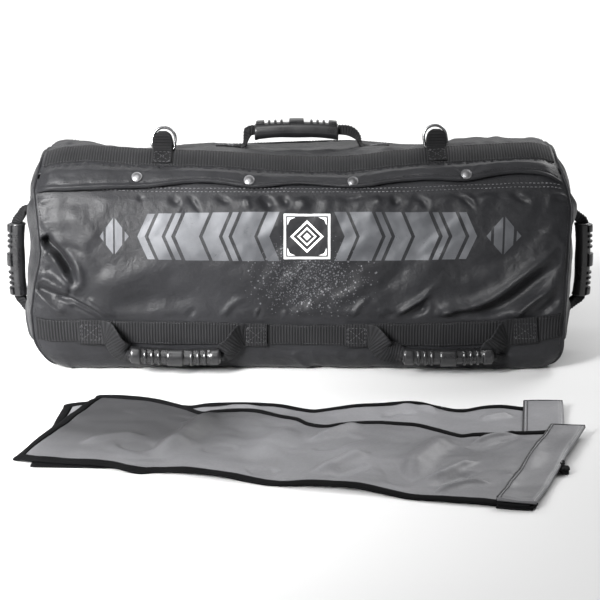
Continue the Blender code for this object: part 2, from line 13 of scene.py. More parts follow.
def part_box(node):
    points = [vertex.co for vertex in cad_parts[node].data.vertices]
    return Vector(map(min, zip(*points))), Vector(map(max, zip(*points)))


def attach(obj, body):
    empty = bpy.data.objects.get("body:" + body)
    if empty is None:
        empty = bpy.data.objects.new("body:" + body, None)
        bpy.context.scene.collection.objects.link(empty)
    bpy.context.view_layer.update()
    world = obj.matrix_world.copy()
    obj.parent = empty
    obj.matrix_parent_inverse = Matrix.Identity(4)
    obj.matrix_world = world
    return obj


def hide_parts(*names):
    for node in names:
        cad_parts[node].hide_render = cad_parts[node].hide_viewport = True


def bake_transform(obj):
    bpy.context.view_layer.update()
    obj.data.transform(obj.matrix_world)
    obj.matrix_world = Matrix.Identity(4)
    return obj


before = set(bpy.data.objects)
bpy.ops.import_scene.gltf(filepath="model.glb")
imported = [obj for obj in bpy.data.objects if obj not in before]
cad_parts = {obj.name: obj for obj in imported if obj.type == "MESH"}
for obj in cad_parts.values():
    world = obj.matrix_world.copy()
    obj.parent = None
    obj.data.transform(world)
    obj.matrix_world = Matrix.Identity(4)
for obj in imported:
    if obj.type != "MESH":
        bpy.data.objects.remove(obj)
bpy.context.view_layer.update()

scene = bpy.context.scene
scene.view_settings.view_transform = "Standard"
PI = math.pi

# ============================================================== the part's own sizes
GAP, SKIN, WEB = 0.0004, 0.0024, 0.0020
WRAP_HALF, STRAIGHT_HALF, SEAM_SCALE, DOME, CENTRE_Z = 0.3580, 0.3250, 0.955, 0.0225, 0.1450
WEB_WIDE, BAND_HALF, TOP_BAND_S, LOW_BAND_S = 0.038, 0.3460, 0.0600, 0.3150
ZIP_S, ZIP_SLIT = 0.1110, 0.0080
FLAP_S0, FLAP_S1, FLAP_LIFT, FLAP_THICK = 0.0985, 0.1290, 0.0057, 0.0018
SNAP_S, SNAP_X = 0.1208, (-0.2175, -0.0650, 0.0760, 0.2300)
TOP_AXIS_Z, TOP_GRIP_Z, TOP_GRIP_X, TOP_GRIP_LEN = 0.3105, 0.3145, -0.0007, 0.1170
TOP_BASE = (-0.0763, 0.0918)
LOW_AXIS_Z, LOW_AXIS_Y, LOW_GRIP_Z, LOW_GRIP_OUT, LOW_GRIP_LEN = 0.0680, 0.155043, 0.0280, 0.0050, 0.1230
LOW_HANDLES = {"left": (-0.2620, -0.0740, -0.1660), "right": (0.0995, 0.2876, 0.2060)}
TACK_LEN = 0.0340
END_AXIS_X, END_GRIP_LEN, END_GRIP_Z = 0.3905, 0.1050, 0.1280
END_GRIP_X = {"left": -0.4005, "right": 0.4090}
END_LUG_Z = (0.0500, 0.2060)
RING_X, RING_Y, RING_Z, RING_HALF, RING_LEG = (-0.1850, 0.1920), -0.0640, 0.3000, 0.0155, 0.0155
TAB_WIDE, TAB_TOP, TAB_DEPTH = 0.0250, 0.0192, 0.0102
FLAP_PIVOT = (0.0, -0.096667, 0.281626)
SECTION = [
    (0.0000, 0.2955), (-0.0450, 0.2962), (-0.0680, 0.2935), (-0.0860, 0.2845),
    (-0.1030, 0.2690), (-0.1185, 0.2480), (-0.1315, 0.2200), (-0.1405, 0.1860),
    (-0.1460, 0.1480), (-0.1475, 0.1100), (-0.1472, 0.0740), (-0.1460, 0.0480),
    (-0.1415, 0.0240), (-0.1310, 0.0072), (-0.1150, 0.0006), (-0.0980, 0.0000),
    (0.0000, 0.0000),
]

# ============================================================== camera
CAM_D, CAM_H, CAM_PITCH, CAM_F, CAM_CX = 2.6, 0.72, math.radians(14.1), 1856.0, 297.0


def pixel(p):
    """Where a point shows, in the 600 x 600 frame."""
    x, y, z = p[..., 0], p[..., 1], p[..., 2]
    d, v = y + CAM_D, z - CAM_H
    dep = d * math.cos(CAM_PITCH) - v * math.sin(CAM_PITCH)
    up = d * math.sin(CAM_PITCH) + v * math.cos(CAM_PITCH)
    return CAM_CX + CAM_F * x / dep, 300.0 - CAM_F * up / dep


def on_floor(px, py, z):
    """The point at height z that shows at a pixel."""
    a = (300.0 - py) / CAM_F
    # up = a * dep  ->  d sin + v cos = a (d cos - v sin)
    v = z - CAM_H
    c, s = math.cos(CAM_PITCH), math.sin(CAM_PITCH)
    d = -v * (c + a * s) / (s - a * c)
    dep = d * c - v * s
    return np.array([(px - CAM_CX) * dep / CAM_F, d - CAM_D, z])


cam = bpy.data.objects.new("camera", bpy.data.cameras.new("camera"))
scene.collection.objects.link(cam)
cam.location = (0.0, -CAM_D, CAM_H)
cam.rotation_euler = (math.radians(90) - CAM_PITCH, 0.0, 0.0)
cam.data.sensor_width = 36.0
cam.data.lens = CAM_F / 600.0 * 36.0
cam.data.shift_x = (300.0 - CAM_CX) / 600.0
cam.data.clip_end = 200.0
scene.camera = cam


# ============================================================== noise and small maths
def smooth(a, b, x):
    t = np.clip((np.asarray(x, float) - a) / (b - a), 0.0, 1.0)
    return t * t * (3.0 - 2.0 * t)


def _hash(i, j, seed):
    n = (i.astype(np.int64) * 374761393 + j.astype(np.int64) * 668265263 + seed * 974711 + 1013) & 0xffffffff
    n = ((n ^ (n >> 13)) * 1274126177) & 0xffffffff
    return ((n ^ (n >> 16)) & 0xffff) / 65535.0


def noise2(x, y, seed=0):
    """Smooth gradient noise, about -1 to 1, one feature per unit."""
    x, y = np.broadcast_arrays(np.asarray(x, float), np.asarray(y, float))
    xi, yi = np.floor(x), np.floor(y)
    fx, fy = x - xi, y - yi
    ux, uy = fx ** 3 * (fx * (fx * 6 - 15) + 10), fy ** 3 * (fy * (fy * 6 - 15) + 10)

    def corner(di, dj):
        a = 2 * PI * _hash(xi + di, yi + dj, seed)
        return np.cos(a) * (fx - di) + np.sin(a) * (fy - dj)

    top = corner(0, 0) * (1 - ux) + corner(1, 0) * ux
    low = corner(0, 1) * (1 - ux) + corner(1, 1) * ux
    return (top * (1 - uy) + low * uy) * 1.5


def fbm(x, y, seed=0, octaves=3, gain=0.5):
    out, amp = 0.0, 1.0
    for k in range(octaves):
        out = out + amp * noise2(np.asarray(x) * 2 ** k, np.asarray(y) * 2 ** k, seed + 17 * k)
        amp *= gain
    return out


def curve_through(points, spacing):
    """Centripetal Catmull-Rom through points (n, k), resampled evenly; returns points and the control parameter."""
    p = np.asarray(points, float)
    p = np.vstack([2 * p[0] - p[1], p, 2 * p[-1] - p[-2]])
    out, par = [], []
    for i in range(1, len(p) - 2):
        p0, p1, p2, p3 = p[i - 1:i + 3]
        n3 = min(3, p.shape[1])
        d = [max(np.linalg.norm((b - a)[:n3]) ** 0.5, 1e-4) for a, b in ((p0, p1), (p1, p2), (p2, p3))]
        t1, t2, t3 = d[0], d[0] + d[1], d[0] + d[1] + d[2]
        t = np.linspace(t1, t2, 24, endpoint=False)[:, None]
        a1 = p0 * (t1 - t) / t1 + p1 * t / t1
        a2 = p1 * (t2 - t) / (t2 - t1) + p2 * (t - t1) / (t2 - t1)
        a3 = p2 * (t3 - t) / (t3 - t2) + p3 * (t - t2) / (t3 - t2)
        b1 = a1 * (t2 - t) / t2 + a2 * t / t2
        b2 = a2 * (t3 - t) / (t3 - t1) + a3 * (t - t1) / (t3 - t1)
        out.append(b1 * (t2 - t) / (t2 - t1) + b2 * (t - t1) / (t2 - t1))
        par.append(i - 1 + (t[:, 0] - t1) / (t2 - t1))
    out.append(p[-2][None])
    par.append([len(p) - 3.0])
    out, par = np.vstack(out), np.concatenate(par)
    run = np.concatenate([[0], np.cumsum(np.linalg.norm(np.diff(out[:, :3], axis=0), axis=1))])
    n = max(2, int(round(run[-1] / spacing)) + 1)
    at = np.linspace(0, run[-1], n)
    return np.stack([np.interp(at, run, out[:, k]) for k in range(out.shape[1])], 1), np.interp(at, run, par), at


# ============================================================== the bag's section
def _catmull2(points, per):
    pts = [Vector(p) for p in points]
    pts = [Vector((-pts[1].x, pts[1].y))] + pts + [Vector((-pts[-2].x, pts[-2].y))]
    out = []
    for i in range(1, len(pts) - 2):
        p0, p1, p2, p3 = pts[i - 1:i + 3]
        t1 = (p1 - p0).length ** 0.5
        t2 = t1 + (p2 - p1).length ** 0.5
        t3 = t2 + (p3 - p2).length ** 0.5
        for k in range(per):
            t = t1 + (t2 - t1) * k / per
            a1 = p0 * ((t1 - t) / t1) + p1 * (t / t1)
            a2 = p1 * ((t2 - t) / (t2 - t1)) + p2 * ((t - t1) / (t2 - t1))
            a3 = p2 * ((t3 - t) / (t3 - t2)) + p3 * ((t - t2) / (t3 - t2))
            b1 = a1 * ((t2 - t) / t2) + a2 * (t / t2)
            b2 = a2 * ((t3 - t) / (t3 - t1)) + a3 * ((t - t1) / (t3 - t1))
            out.append(b1 * ((t2 - t) / (t2 - t1)) + b2 * ((t - t1) / (t2 - t1)))
    out.append(pts[-2])
    return np.array([(p.x, max(p.y, 0.0)) for p in out])


CURVE = _catmull2(SECTION, 12)
GIRTH = np.concatenate([[0], np.cumsum(np.linalg.norm(np.diff(CURVE, axis=0), axis=1))])
HALF = GIRTH[-1]
_t = np.gradient(CURVE, axis=0)
_t[0], _t[-1] = (-1, 0), (1, 0)
_t /= np.linalg.norm(_t, axis=1)[:, None]
CNORM = np.stack([_t[:, 1], -_t[:, 0]], 1)


def section(s):
    """y, z and outward normal (ny, nz) at girth position s; positive s is the front."""
    s = (np.asarray(s, float) + HALF) % (2 * HALF) - HALF
    side, a = np.where(s >= 0, 1.0, -1.0), np.abs(s)
    y, z = np.interp(a, GIRTH, CURVE[:, 0]), np.interp(a, GIRTH, CURVE[:, 1])
    ny, nz = np.interp(a, GIRTH, CNORM[:, 0]), np.interp(a, GIRTH, CNORM[:, 1])
    k = 1.0 / np.maximum(np.hypot(ny, nz), 1e-9)
    return y * side, z, ny * side * k, nz * k


def shrink(x):
    k = np.clip((np.abs(x) - STRAIGHT_HALF) / (WRAP_HALF - STRAIGHT_HALF), 0, 1)
    return 1.0 - (1.0 - SEAM_SCALE) * k * k


def plain(x, s, off=0.0):
    """The undisturbed surface."""
    x, s = np.broadcast_arrays(np.asarray(x, float), np.asarray(s, float))
    y, z, ny, nz = section(s)
    f = shrink(x)
    return np.stack([x, y * f + ny * off, CENTRE_Z + (z - CENTRE_Z) * f + nz * off], -1)


# The filled bag isn't even.  Its upper front edge stands higher at both ends and dips in the
# middle, the top falls away to the rear, the lower corners are round and the end seams wander.
LIFT_X = (-0.38, -0.345, -0.325, -0.29, -0.265, -0.20, 0.0, 0.10, 0.15, 0.20, 0.25, 0.30, 0.335, 0.36, 0.38)
LIFT_Z = (0.000, 0.002, 0.004, 0.006, 0.0045, 0.0005, 0.0, 0.0, 0.0010, 0.0040, 0.0070, 0.0095, 0.0100, 0.0080, 0.006)
DIP_X = (-0.20, -0.132, -0.083, -0.03, 0.018, 0.063, 0.10, 0.13, 0.17)
DIP_Z = (0.0, 0.0014, 0.0036, 0.0080, 0.0096, 0.0092, 0.0055, 0.0020, 0.0)
RIDGE_PX = ((30, 166), (40, 152), (47, 147), (58, 142.5), (69, 140), (85, 143), (100, 147.2), (130, 147), (165, 146.3), (200, 145),
            (238, 145), (270, 143.5), (294, 142.8), (320, 141.8), (340, 141.2), (355, 141.4), (373, 142.8), (397, 145), (425, 145),
            (447, 143.6), (464, 140), (480, 139), (496, 138.3), (523, 139.5), (545, 140.5), (553, 141.5), (558, 146), (566, 158))
SEAM_L = ((0.0, 0.006), (0.03, 0.0), (0.05, -0.004), (0.085, -0.0060), (0.125, 0.0), (0.150, 0.0060), (0.168, 0.0085), (0.19, 0.0065),
          (0.215, 0.0040), (0.250, -0.001), (0.275, 0.004), (0.30, 0.008))
SEAM_R = ((0.0, 0.004), (0.02, 0.0080), (0.08, 0.0090), (0.13, 0.0100), (0.18, 0.0130), (0.225, 0.0165), (0.25, 0.0120),
          (0.27, 0.0050), (0.285, -0.001), (0.30, -0.004))


def lift_at(x):
    return float(np.interp(x, LIFT_X, LIFT_Z)) - float(np.interp(x, DIP_X, DIP_Z))


def warp_front(p):
    x = p[..., 0]
    p[..., 2] += np.interp(x, LIFT_X, LIFT_Z) * smooth(0.17, 0.29, p[..., 2]) \
        - np.interp(x, DIP_X, DIP_Z) * smooth(0.250, 0.279, p[..., 2])
    return p


def fall(p, m):
    """The top falling to the rear, m down for each unit back."""
    back = p[..., 1] + 0.052
    back = np.where(back > 0, np.sqrt(back ** 2 + 0.012 ** 2) - 0.012, 0.0)
    p[..., 2] -= m * back * smooth(0.12, 0.28, p[..., 2])
    return p


def _solve_fall():
    """How steeply the top must fall at each place for its outline to show where it does."""
    px_, py_ = np.array(RIDGE_PX, float).T
    s = np.linspace(-0.15, 0.075, 160)
    xs = np.linspace(-0.375, 0.375, 76)
    tries = np.linspace(-0.06, 0.34, 81)
    out = []
    for x in xs:
        base = warp_front(plain(np.full_like(s, x), s))
        best = None
        for m in tries:
            u, v = pixel(fall(base.copy(), m))
            k = int(np.argmin(v))
            miss = abs(v[k] - np.interp(u[k], px_, py_)) + 2.0 * abs(m - 0.14)
            if best is None or miss < best[0]:
                best = (miss, m)
        out.append(best[1])
    out = np.convolve(np.pad(out, 2, mode="edge"), (0.1, 0.2, 0.4, 0.2, 0.1), "valid")
    return xs, out


FALL_X, FALL_M = _solve_fall()


def warp(p, ends=1.0):
    """From the even shape to the one that stands on the floor."""
    p = warp_front(np.array(p, float))
    x = p[..., 0]
    p = fall(p, np.interp(x, FALL_X, FALL_M))
    z, side = p[..., 2], np.where(x < 0, -1.0, 1.0)
    # wandering seams
    off = np.where(x < 0, -np.interp(z, *np.array(SEAM_L).T), np.interp(z, *np.array(SEAM_R).T))
    front = 0.45 + 0.55 * smooth(0.05, -0.05, p[..., 1])
    ax = np.abs(x) + off * front * smooth(0.23, 0.350, np.abs(x)) * ends
    # round lower corners
    for sd, zc, xc in ((-1, 0.050, 0.300), (1, 0.036, 0.325)):
        k = (side == sd) & (z < zc) & (ax > xc)
        t = np.clip(1 - z / zc, 0, 1)
        g = np.sqrt(np.maximum(1 - 0.83 * t * t, 0.0))
        u = np.clip((ax - xc) / (0.372 - xc), 0, 1.2)
        ax = np.where(k, xc + (ax - xc) * (1 - (1 - g) * smooth(0, 0.5, u)), ax)
        z = np.where(k, np.maximum(z - 0.0058 * t * t * smooth(0.2, 1.0, u), np.minimum(z, 0.0006)), z)
    p[..., 0] = side * ax
    p[..., 2] = z
    return p


_S = np.linspace(0.02, 0.48, 3000)
_Y, _Z, _a, _b = section(_S)


def on_front(px, py):
    """Length and girth position on the front that shows at a pixel."""
    d, v = _Y + CAM_D, _Z - CAM_H
    dep = d * math.cos(CAM_PITCH) - v * math.sin(CAM_PITCH)
    rows = 300.0 - CAM_F * (d * math.sin(CAM_PITCH) + v * math.cos(CAM_PITCH)) / dep
    k = int(np.argmin(np.abs(rows - py)))
    return (px - CAM_CX) * dep[k] / CAM_F, _S[k]


# ============================================================== materials
class Look:
    """A Principled material and short ways to wire it."""

    def __init__(self, name, rough=0.5, metal=0.0, **sockets):
        self.mat = bpy.data.materials.new(name)
        self.mat.use_nodes = True
        self.tree = self.mat.node_tree
        self.p = self.tree.nodes["Principled BSDF"]
        self.p.inputs["Roughness"].default_value = rough
        self.p.inputs["Metallic"].default_value = metal
        for k, v in sockets.items():
            self.p.inputs[k.replace("_", " ")].default_value = v
        self.coord = self.tree.nodes.new("ShaderNodeTexCoord")
        self.obj, self.uv = self.coord.outputs["Object"], self.coord.outputs["UV"]

    def node(self, kind, out=0, props=None, **ins):
        n = self.tree.nodes.new(kind)
        for k, v in (props or {}).items():
            setattr(n, k, v)
        for k, v in ins.items():
            k = int(k[1:]) if k[0] == "i" and k[1:].isdigit() else k.replace("_", " ")
            if isinstance(v, bpy.types.NodeSocket):
                self.tree.links.new(v, n.inputs[k])
            else:
                n.inputs[k].default_value = v
        return n.outputs[out]

    def math(self, op, a, b=0.0, c=0.0, clamp=False):
        return self.node("ShaderNodeMath", props={"operation": op, "use_clamp": clamp}, i0=a, i1=b, i2=c)

    def noise(self, scale, detail=3.0, rough=0.5, vec=None, distort=0.0):
        return self.node("ShaderNodeTexNoise", Vector=vec or self.obj, Scale=scale, Detail=detail, Roughness=rough,
                         Distortion=distort)

    def stretch(self, x, y, z, vec=None, turn=0.0):
        return self.node("ShaderNodeMapping", Vector=vec or self.obj, Scale=(x, y, z), Rotation=(0, 0, turn))

    def ramp(self, fac, stops):
        n = self.tree.nodes.new("ShaderNodeValToRGB")
        el = n.color_ramp.elements
        while len(el) < len(stops):
            el.new(0.5)
        for e, (pos, col) in zip(el, stops):
            e.position = pos
            e.color = (*col, 1.0) if hasattr(col, "__len__") else (col, col, col, 1.0)
        self.tree.links.new(fac, n.inputs[0])
        return n.outputs[0]

    def mix(self, fac, a, b, kind="MIX"):
        n = self.tree.nodes.new("ShaderNodeMix")
        n.data_type, n.blend_type = "RGBA", kind
        for s, v in ((n.inputs[0], fac), (n.inputs[6], a), (n.inputs[7], b)):
            if isinstance(v, bpy.types.NodeSocket):
                self.tree.links.new(v, s)
            elif hasattr(v, "__len__"):
                s.default_value = (*v, 1.0) if len(v) == 3 else v
            else:
                s.default_value = v
        return n.outputs[2]

    def bump(self, height, strength, distance, below=None):
        ins = dict(Height=height, Strength=strength, Distance=distance)
        if below is not None:
            ins["Normal"] = below
        return self.node("ShaderNodeBump", **ins)

    def set(self, **links):
        for k, v in links.items():
            self.tree.links.new(v, self.p.inputs[k.replace("_", " ")])
        return self

    def weave(self, pitch, vec, across=1.0):
        """Over and under threads, as a height from 0 to 1."""
        sep = self.tree.nodes.new("ShaderNodeSeparateXYZ")
        self.tree.links.new(vec, sep.inputs[0])
        a = self.math("SINE", self.math("MULTIPLY", sep.outputs[0], 2 * PI / pitch))
        b = self.math("SINE", self.math("MULTIPLY", sep.outputs[1], 2 * PI / (pitch * across)))
        return self.math("MULTIPLY_ADD", self.math("MULTIPLY", a, b), 0.5, 0.5)


def cloth_look(name, dark, light, rough=0.46, pitch=0.0013, sheen=0.02, grime=0.5, use_uv=True):
    k = Look(name, rough, Sheen_Weight=sheen, Sheen_Roughness=0.45, Specular_IOR_Level=0.19)
    vec = k.uv if use_uv else k.obj
    cloud = k.noise(11.0, 4.0, 0.6)
    fine = k.noise(260.0, 2.0, 0.6)
    streak = k.noise(1.0, 3.0, 0.6, vec=k.stretch(30, 30, 140))
    tone = k.math("ADD", k.math("MULTIPLY", cloud, 0.60), k.math("ADD", k.math("MULTIPLY", fine, 0.25),
                                                               k.math("MULTIPLY", streak, 0.15)))
    weave = k.weave(pitch, vec)
    col = k.ramp(tone, [(0.34, dark), (0.66, light)])
    col = k.mix(k.math("MULTIPLY", weave, 0.22), col, tuple(c * 0.55 for c in dark))
    wear = k.math("GREATER_THAN", k.noise(95.0, 5.0, 0.75), 0.665)
    col = k.mix(k.math("MULTIPLY", wear, 0.16 * grime), col, tuple(min(1.0, c * 3.2) for c in light))
    k.set(Base_Color=col, Roughness=k.math("ADD", k.math("MULTIPLY", cloud, 0.16), rough - 0.08))
    crink = k.math("ABSOLUTE", k.math("SUBTRACT", k.noise(62.0, 3.0, 0.55, distort=0.6), 0.5))
    crink2 = k.math("ABSOLUTE", k.math("SUBTRACT", k.noise(150.0, 3.0, 0.6, distort=0.4), 0.5))
    low = k.bump(k.math("ADD", crink, k.math("MULTIPLY", crink2, 0.40)), 0.40, 0.0026)
    k.set(Normal=k.bump(k.math("ADD", weave, k.math("MULTIPLY", fine, 1.2)), 0.45, 0.00016, low))
    return k.mat


NYLON = cloth_look("coated_nylon", (0.0110, 0.0111, 0.0122), (0.0210, 0.0212, 0.0234), 0.42)
NYLON_IN = cloth_look("coated_nylon_facing", (0.0120, 0.0120, 0.0130), (0.0200, 0.0200, 0.0215), 0.55)


RIB = 0.0039                                     # the webbing's ribs


def webbing_look(name, dark, light, rough=0.66, sheen=0.02, spec=0.13):
    k = Look(name, rough, Sheen_Weight=sheen, Sheen_Roughness=0.5, Specular_IOR_Level=spec)
    sep = k.tree.nodes.new("ShaderNodeSeparateXYZ")
    k.tree.links.new(k.uv, sep.inputs[0])
    ribs = k.math("MULTIPLY_ADD", k.math("COSINE", k.math("MULTIPLY", sep.outputs[0], 2 * PI / RIB)), -0.5, 0.5)
    cloud = k.noise(24.0, 3.0, 0.6)
    fuzz = k.noise(900.0, 2.0, 0.7)
    twill = k.node("ShaderNodeTexWave", props={"wave_type": "BANDS", "bands_direction": "DIAGONAL"}, Vector=k.obj,
                   Scale=260.0, Distortion=1.2, Detail=1.0)
    tone = k.math("ADD", k.math("MULTIPLY", cloud, 0.55), k.math("MULTIPLY", fuzz, 0.45))
    col = k.mix(k.math("MULTIPLY", twill, 0.28), k.ramp(tone, [(0.30, dark), (0.70, light)]),
                tuple(c * 0.4 for c in dark))
    # painted shade: the webbing is darkened in the valleys between its ribs
    col = k.mix(k.math("MULTIPLY", ribs, 0.72), col, tuple(c * 0.22 for c in dark))
    k.set(Base_Color=col, Roughness=k.math("ADD", k.math("MULTIPLY", fuzz, 0.2), rough - 0.1))
    k.set(Normal=k.bump(k.math("ADD", twill, k.math("MULTIPLY", fuzz, 0.7)), 0.55, 0.00030))
    return k.mat


WEBBING = webbing_look("black_webbing", (0.0120, 0.0120, 0.0130), (0.0270, 0.0272, 0.0290))
STRAP = webbing_look("handle_webbing", (0.0060, 0.0060, 0.0066), (0.0150, 0.0151, 0.0162), 0.66, 0.02, 0.12)
TAPE = webbing_look("zip_tape", (0.0110, 0.0110, 0.0118), (0.0190, 0.0190, 0.0200), 0.7)
BINDING = webbing_look("binding_tape", (0.0022, 0.0022, 0.0025), (0.0062, 0.0062, 0.0067), 0.85, 0.0, 0.06)


def plastic_look(name, dark, light, rough, bumpy=0.00006, spec=0.5, metal=0.0, scuff=0.0):
    k = Look(name, rough, metal, Specular_IOR_Level=spec)
    cloud = k.noise(38.0, 3.0, 0.55)
    grain = k.noise(1400.0, 2.0, 0.6)
    col = k.ramp(cloud, [(0.35, dark), (0.65, light)])
    if scuff:
        marks = k.math("GREATER_THAN", k.noise(1.0, 5.0, 0.75, vec=k.stretch(90, 320, 320)), 0.66)
        col = k.mix(k.math("MULTIPLY", marks, scuff), col, tuple(min(1.0, c * 2.6) for c in light))
    k.set(Base_Color=col)
    k.set(Roughness=k.math("ADD", k.math("MULTIPLY", cloud, 0.22), k.math("MULTIPLY_ADD", grain, 0.05, rough - 0.13)))
    k.set(Normal=k.bump(grain, 0.4, bumpy))
    return k.mat


GRIP = plastic_look("moulded_grip", (0.0075, 0.0075, 0.0082), (0.0140, 0.0140, 0.0150), 0.29, 0.00003, 0.60, 0.0, 0.10)
COIL = plastic_look("zip_coil", (0.012, 0.012, 0.013), (0.022, 0.022, 0.023), 0.40)
STEEL = plastic_look("ring_steel", (0.17, 0.17, 0.175), (0.34, 0.34, 0.346), 0.24, 0.00003, 0.5, 1.0, 0.2)
SNAP = plastic_look("snap_steel", (0.13, 0.13, 0.134), (0.26, 0.26, 0.266), 0.38, 0.00004, 0.5, 1.0, 0.2)
ZINC = plastic_look("zip_metal", (0.07, 0.07, 0.075), (0.14, 0.14, 0.145), 0.34, 0.00004, 0.5, 1.0, 0.3)
THREAD = plastic_look("sewing_thread", (0.060, 0.060, 0.064), (0.140, 0.140, 0.147), 0.62, 0.0002, 0.35)
THREAD_PALE = plastic_look("pale_thread", (0.26, 0.26, 0.27), (0.44, 0.44, 0.45), 0.62, 0.0002, 0.35)
THREAD_MID = plastic_look("box_thread", (0.030, 0.030, 0.032), (0.070, 0.070, 0.074), 0.62, 0.0002, 0.3)
THREAD_DARK = plastic_look("dark_thread", (0.010, 0.010, 0.011), (0.024, 0.024, 0.026), 0.62, 0.0002, 0.35)
HOOK = webbing_look("hook_tape", (0.0050, 0.0050, 0.0055), (0.0110, 0.0110, 0.0118), 0.90, 0.0, 0.10)


def tarp_look(name, dark, light, rough=0.46, painted_shade=0.0):
    k = Look(name, rough, Specular_IOR_Level=0.22)
    cloud = k.noise(7.0, 4.0, 0.55)
    fine = k.noise(320.0, 2.0, 0.6)
    weave = k.weave(0.0016, k.uv)
    tone = k.math("ADD", k.math("MULTIPLY", cloud, 0.7), k.math("MULTIPLY", fine, 0.3))
    col = k.mix(k.math("MULTIPLY", weave, 0.10), k.ramp(tone, [(0.35, dark), (0.65, light)]),
                tuple(c * 0.6 for c in dark))
    if painted_shade:                                   # painted shade: the sleeve is darkened over its left end, most on its far half beside the bag
        sep = k.tree.nodes.new("ShaderNodeSeparateXYZ")
        k.tree.links.new(k.uv, sep.inputs[0])
        wander = k.math("MULTIPLY_ADD", k.noise(9.0, 2.0), 0.05, -0.025)
        a = k.node("ShaderNodeMapRange", props={"interpolation_type": "SMOOTHSTEP"}, Value=k.math("ADD", sep.outputs[0], wander),
                   i1=0.14, i2=0.28, i3=1.0, i4=0.0)
        b = k.node("ShaderNodeMapRange", props={"interpolation_type": "SMOOTHSTEP"}, Value=k.math("ADD", sep.outputs[1], wander),
                   i1=0.02, i2=0.15, i3=0.30, i4=1.0)
        col = k.mix(k.math("MULTIPLY", k.math("MULTIPLY", a, b), painted_shade), col, tuple(c * 0.30 for c in dark))
    specks = k.math("GREATER_THAN", k.noise(420.0, 3.0, 0.7), 0.70)
    col = k.mix(k.math("MULTIPLY", specks, 0.25), col, tuple(c * 0.45 for c in dark))
    k.set(Base_Color=col, Roughness=k.math("ADD", k.math("MULTIPLY", cloud, 0.20), rough - 0.10))
    low = k.bump(k.noise(30.0, 4.0, 0.6), 0.30, 0.0012)
    k.set(Normal=k.bump(weave, 0.25, 0.00012, low))
    return k.mat


# the upper sleeve carries painted shade over its left end
TARP = tarp_look("grey_tarpaulin", (0.108, 0.108, 0.113), (0.162, 0.162, 0.170), painted_shade=0.88)
TARP_BACK = tarp_look("grey_tarpaulin_far", (0.150, 0.150, 0.157), (0.200, 0.200, 0.209))
FILLED = tarp_look("filled_sleeve", (0.110, 0.111, 0.118), (0.150, 0.151, 0.158), 0.5)


def foil_look(name, dark, light, rough=0.43, worn=0.62):
    k = Look(name, rough, 0.30, Specular_IOR_Level=0.6)
    cloud = k.noise(16.0, 4.0, 0.6)
    grain = k.noise(700.0, 3.0, 0.7)
    weave = k.weave(0.0013, k.uv)
    col = k.ramp(cloud, [(0.3, dark), (0.7, light)])
    chips = k.math("GREATER_THAN", k.math("ADD", k.math("MULTIPLY", grain, 0.45),
                                          k.math("MULTIPLY", k.noise(34.0, 4.0, 0.7), 0.55)), worn)
    col = k.mix(k.math("MULTIPLY", chips, 0.85), col, (0.020, 0.020, 0.022))
    k.set(Base_Color=col, Roughness=k.math("MULTIPLY_ADD", cloud, 0.2, rough - 0.08))
    k.set(Normal=k.bump(k.math("ADD", weave, grain), 0.35, 0.00012, k.bump(k.noise(60.0, 3.0), 0.3, 0.0008)))
    return k.mat


FOIL = foil_look("foil_print", (0.044, 0.046, 0.051), (0.098, 0.101, 0.109))
INK_WHITE = plastic_look("white_ink", (0.72, 0.72, 0.72), (0.84, 0.84, 0.84), 0.5, 0.0002, 0.3)
INK_BLACK = cloth_look("black_ink", (0.012, 0.012, 0.013), (0.020, 0.020, 0.022), 0.5)
INK_GREY = foil_look("grey_speckle", (0.060, 0.061, 0.066), (0.105, 0.106, 0.113), 0.45, 0.66)


# ============================================================== mesh builders
def make(name, verts, faces, mat, uv=None, smooth_shade=True, fix_normals=False):
    me = bpy.data.meshes.new(name)
    verts = np.asarray(verts, np.float32).reshape(-1, 3)
    if isinstance(faces, np.ndarray):
        n, k = faces.shape
        me.vertices.add(len(verts))
        me.vertices.foreach_set("co", verts.ravel())
        me.loops.add(n * k)
        me.loops.foreach_set("vertex_index", faces.astype(np.int32).ravel())
        me.polygons.add(n)
        me.polygons.foreach_set("loop_start", (np.arange(n) * k).astype(np.int32))
        me.update(calc_edges=True)
    else:
        me.from_pydata([tuple(map(float, v)) for v in verts], [], [tuple(int(i) for i in f) for f in faces])
    me.validate(verbose=False)
    if uv is not None:
        layer = me.uv_layers.new(name="lay")
        idx = np.zeros(len(me.loops), np.int32)
        me.loops.foreach_get("vertex_index", idx)
        layer.data.foreach_set("uv", np.asarray(uv, np.float32).reshape(-1, 2)[idx].ravel())
    if fix_normals:
        bm = bmesh.new()
        bm.from_mesh(me)
        bmesh.ops.recalc_face_normals(bm, faces=bm.faces)
        bm.to_mesh(me)
        bm.free()
    me.polygons.foreach_set("use_smooth", np.full(len(me.polygons), smooth_shade))
    ob = bpy.data.objects.new(name, me)
    scene.collection.objects.link(ob)
    me.materials.append(mat)
    return ob


def grid_faces(n, m, wrap_i=False, wrap_j=False, flip=False):
    i, j = np.meshgrid(np.arange(n if wrap_i else n - 1), np.arange(m if wrap_j else m - 1), indexing="ij")
    a = i * m + j
    b = i * m + (j + 1) % m
    c = ((i + 1) % n) * m + (j + 1) % m
    d = ((i + 1) % n) * m + j
    f = np.stack([a, b, c, d], -1).reshape(-1, 4)
    return f[:, ::-1] if flip else f


def grid(name, p, mat, uv=None, wrap_i=False, wrap_j=False, flip=False):
    n, m = p.shape[:2]
    return make(name, p, grid_faces(n, m, wrap_i, wrap_j, flip), mat, uv)


def tube(name, rings, mat, uv=None, caps=True):
    """A closed skin through rings (n, k, 3), both ends capped."""
    n, k = rings.shape[:2]
    faces = [tuple(f) for f in grid_faces(n, k, False, True)]
    if caps:
        faces += [tuple(reversed(range(k))), tuple(range((n - 1) * k, n * k))]
    return make(name, rings.reshape(-1, 3), faces, mat, uv, fix_normals=True)


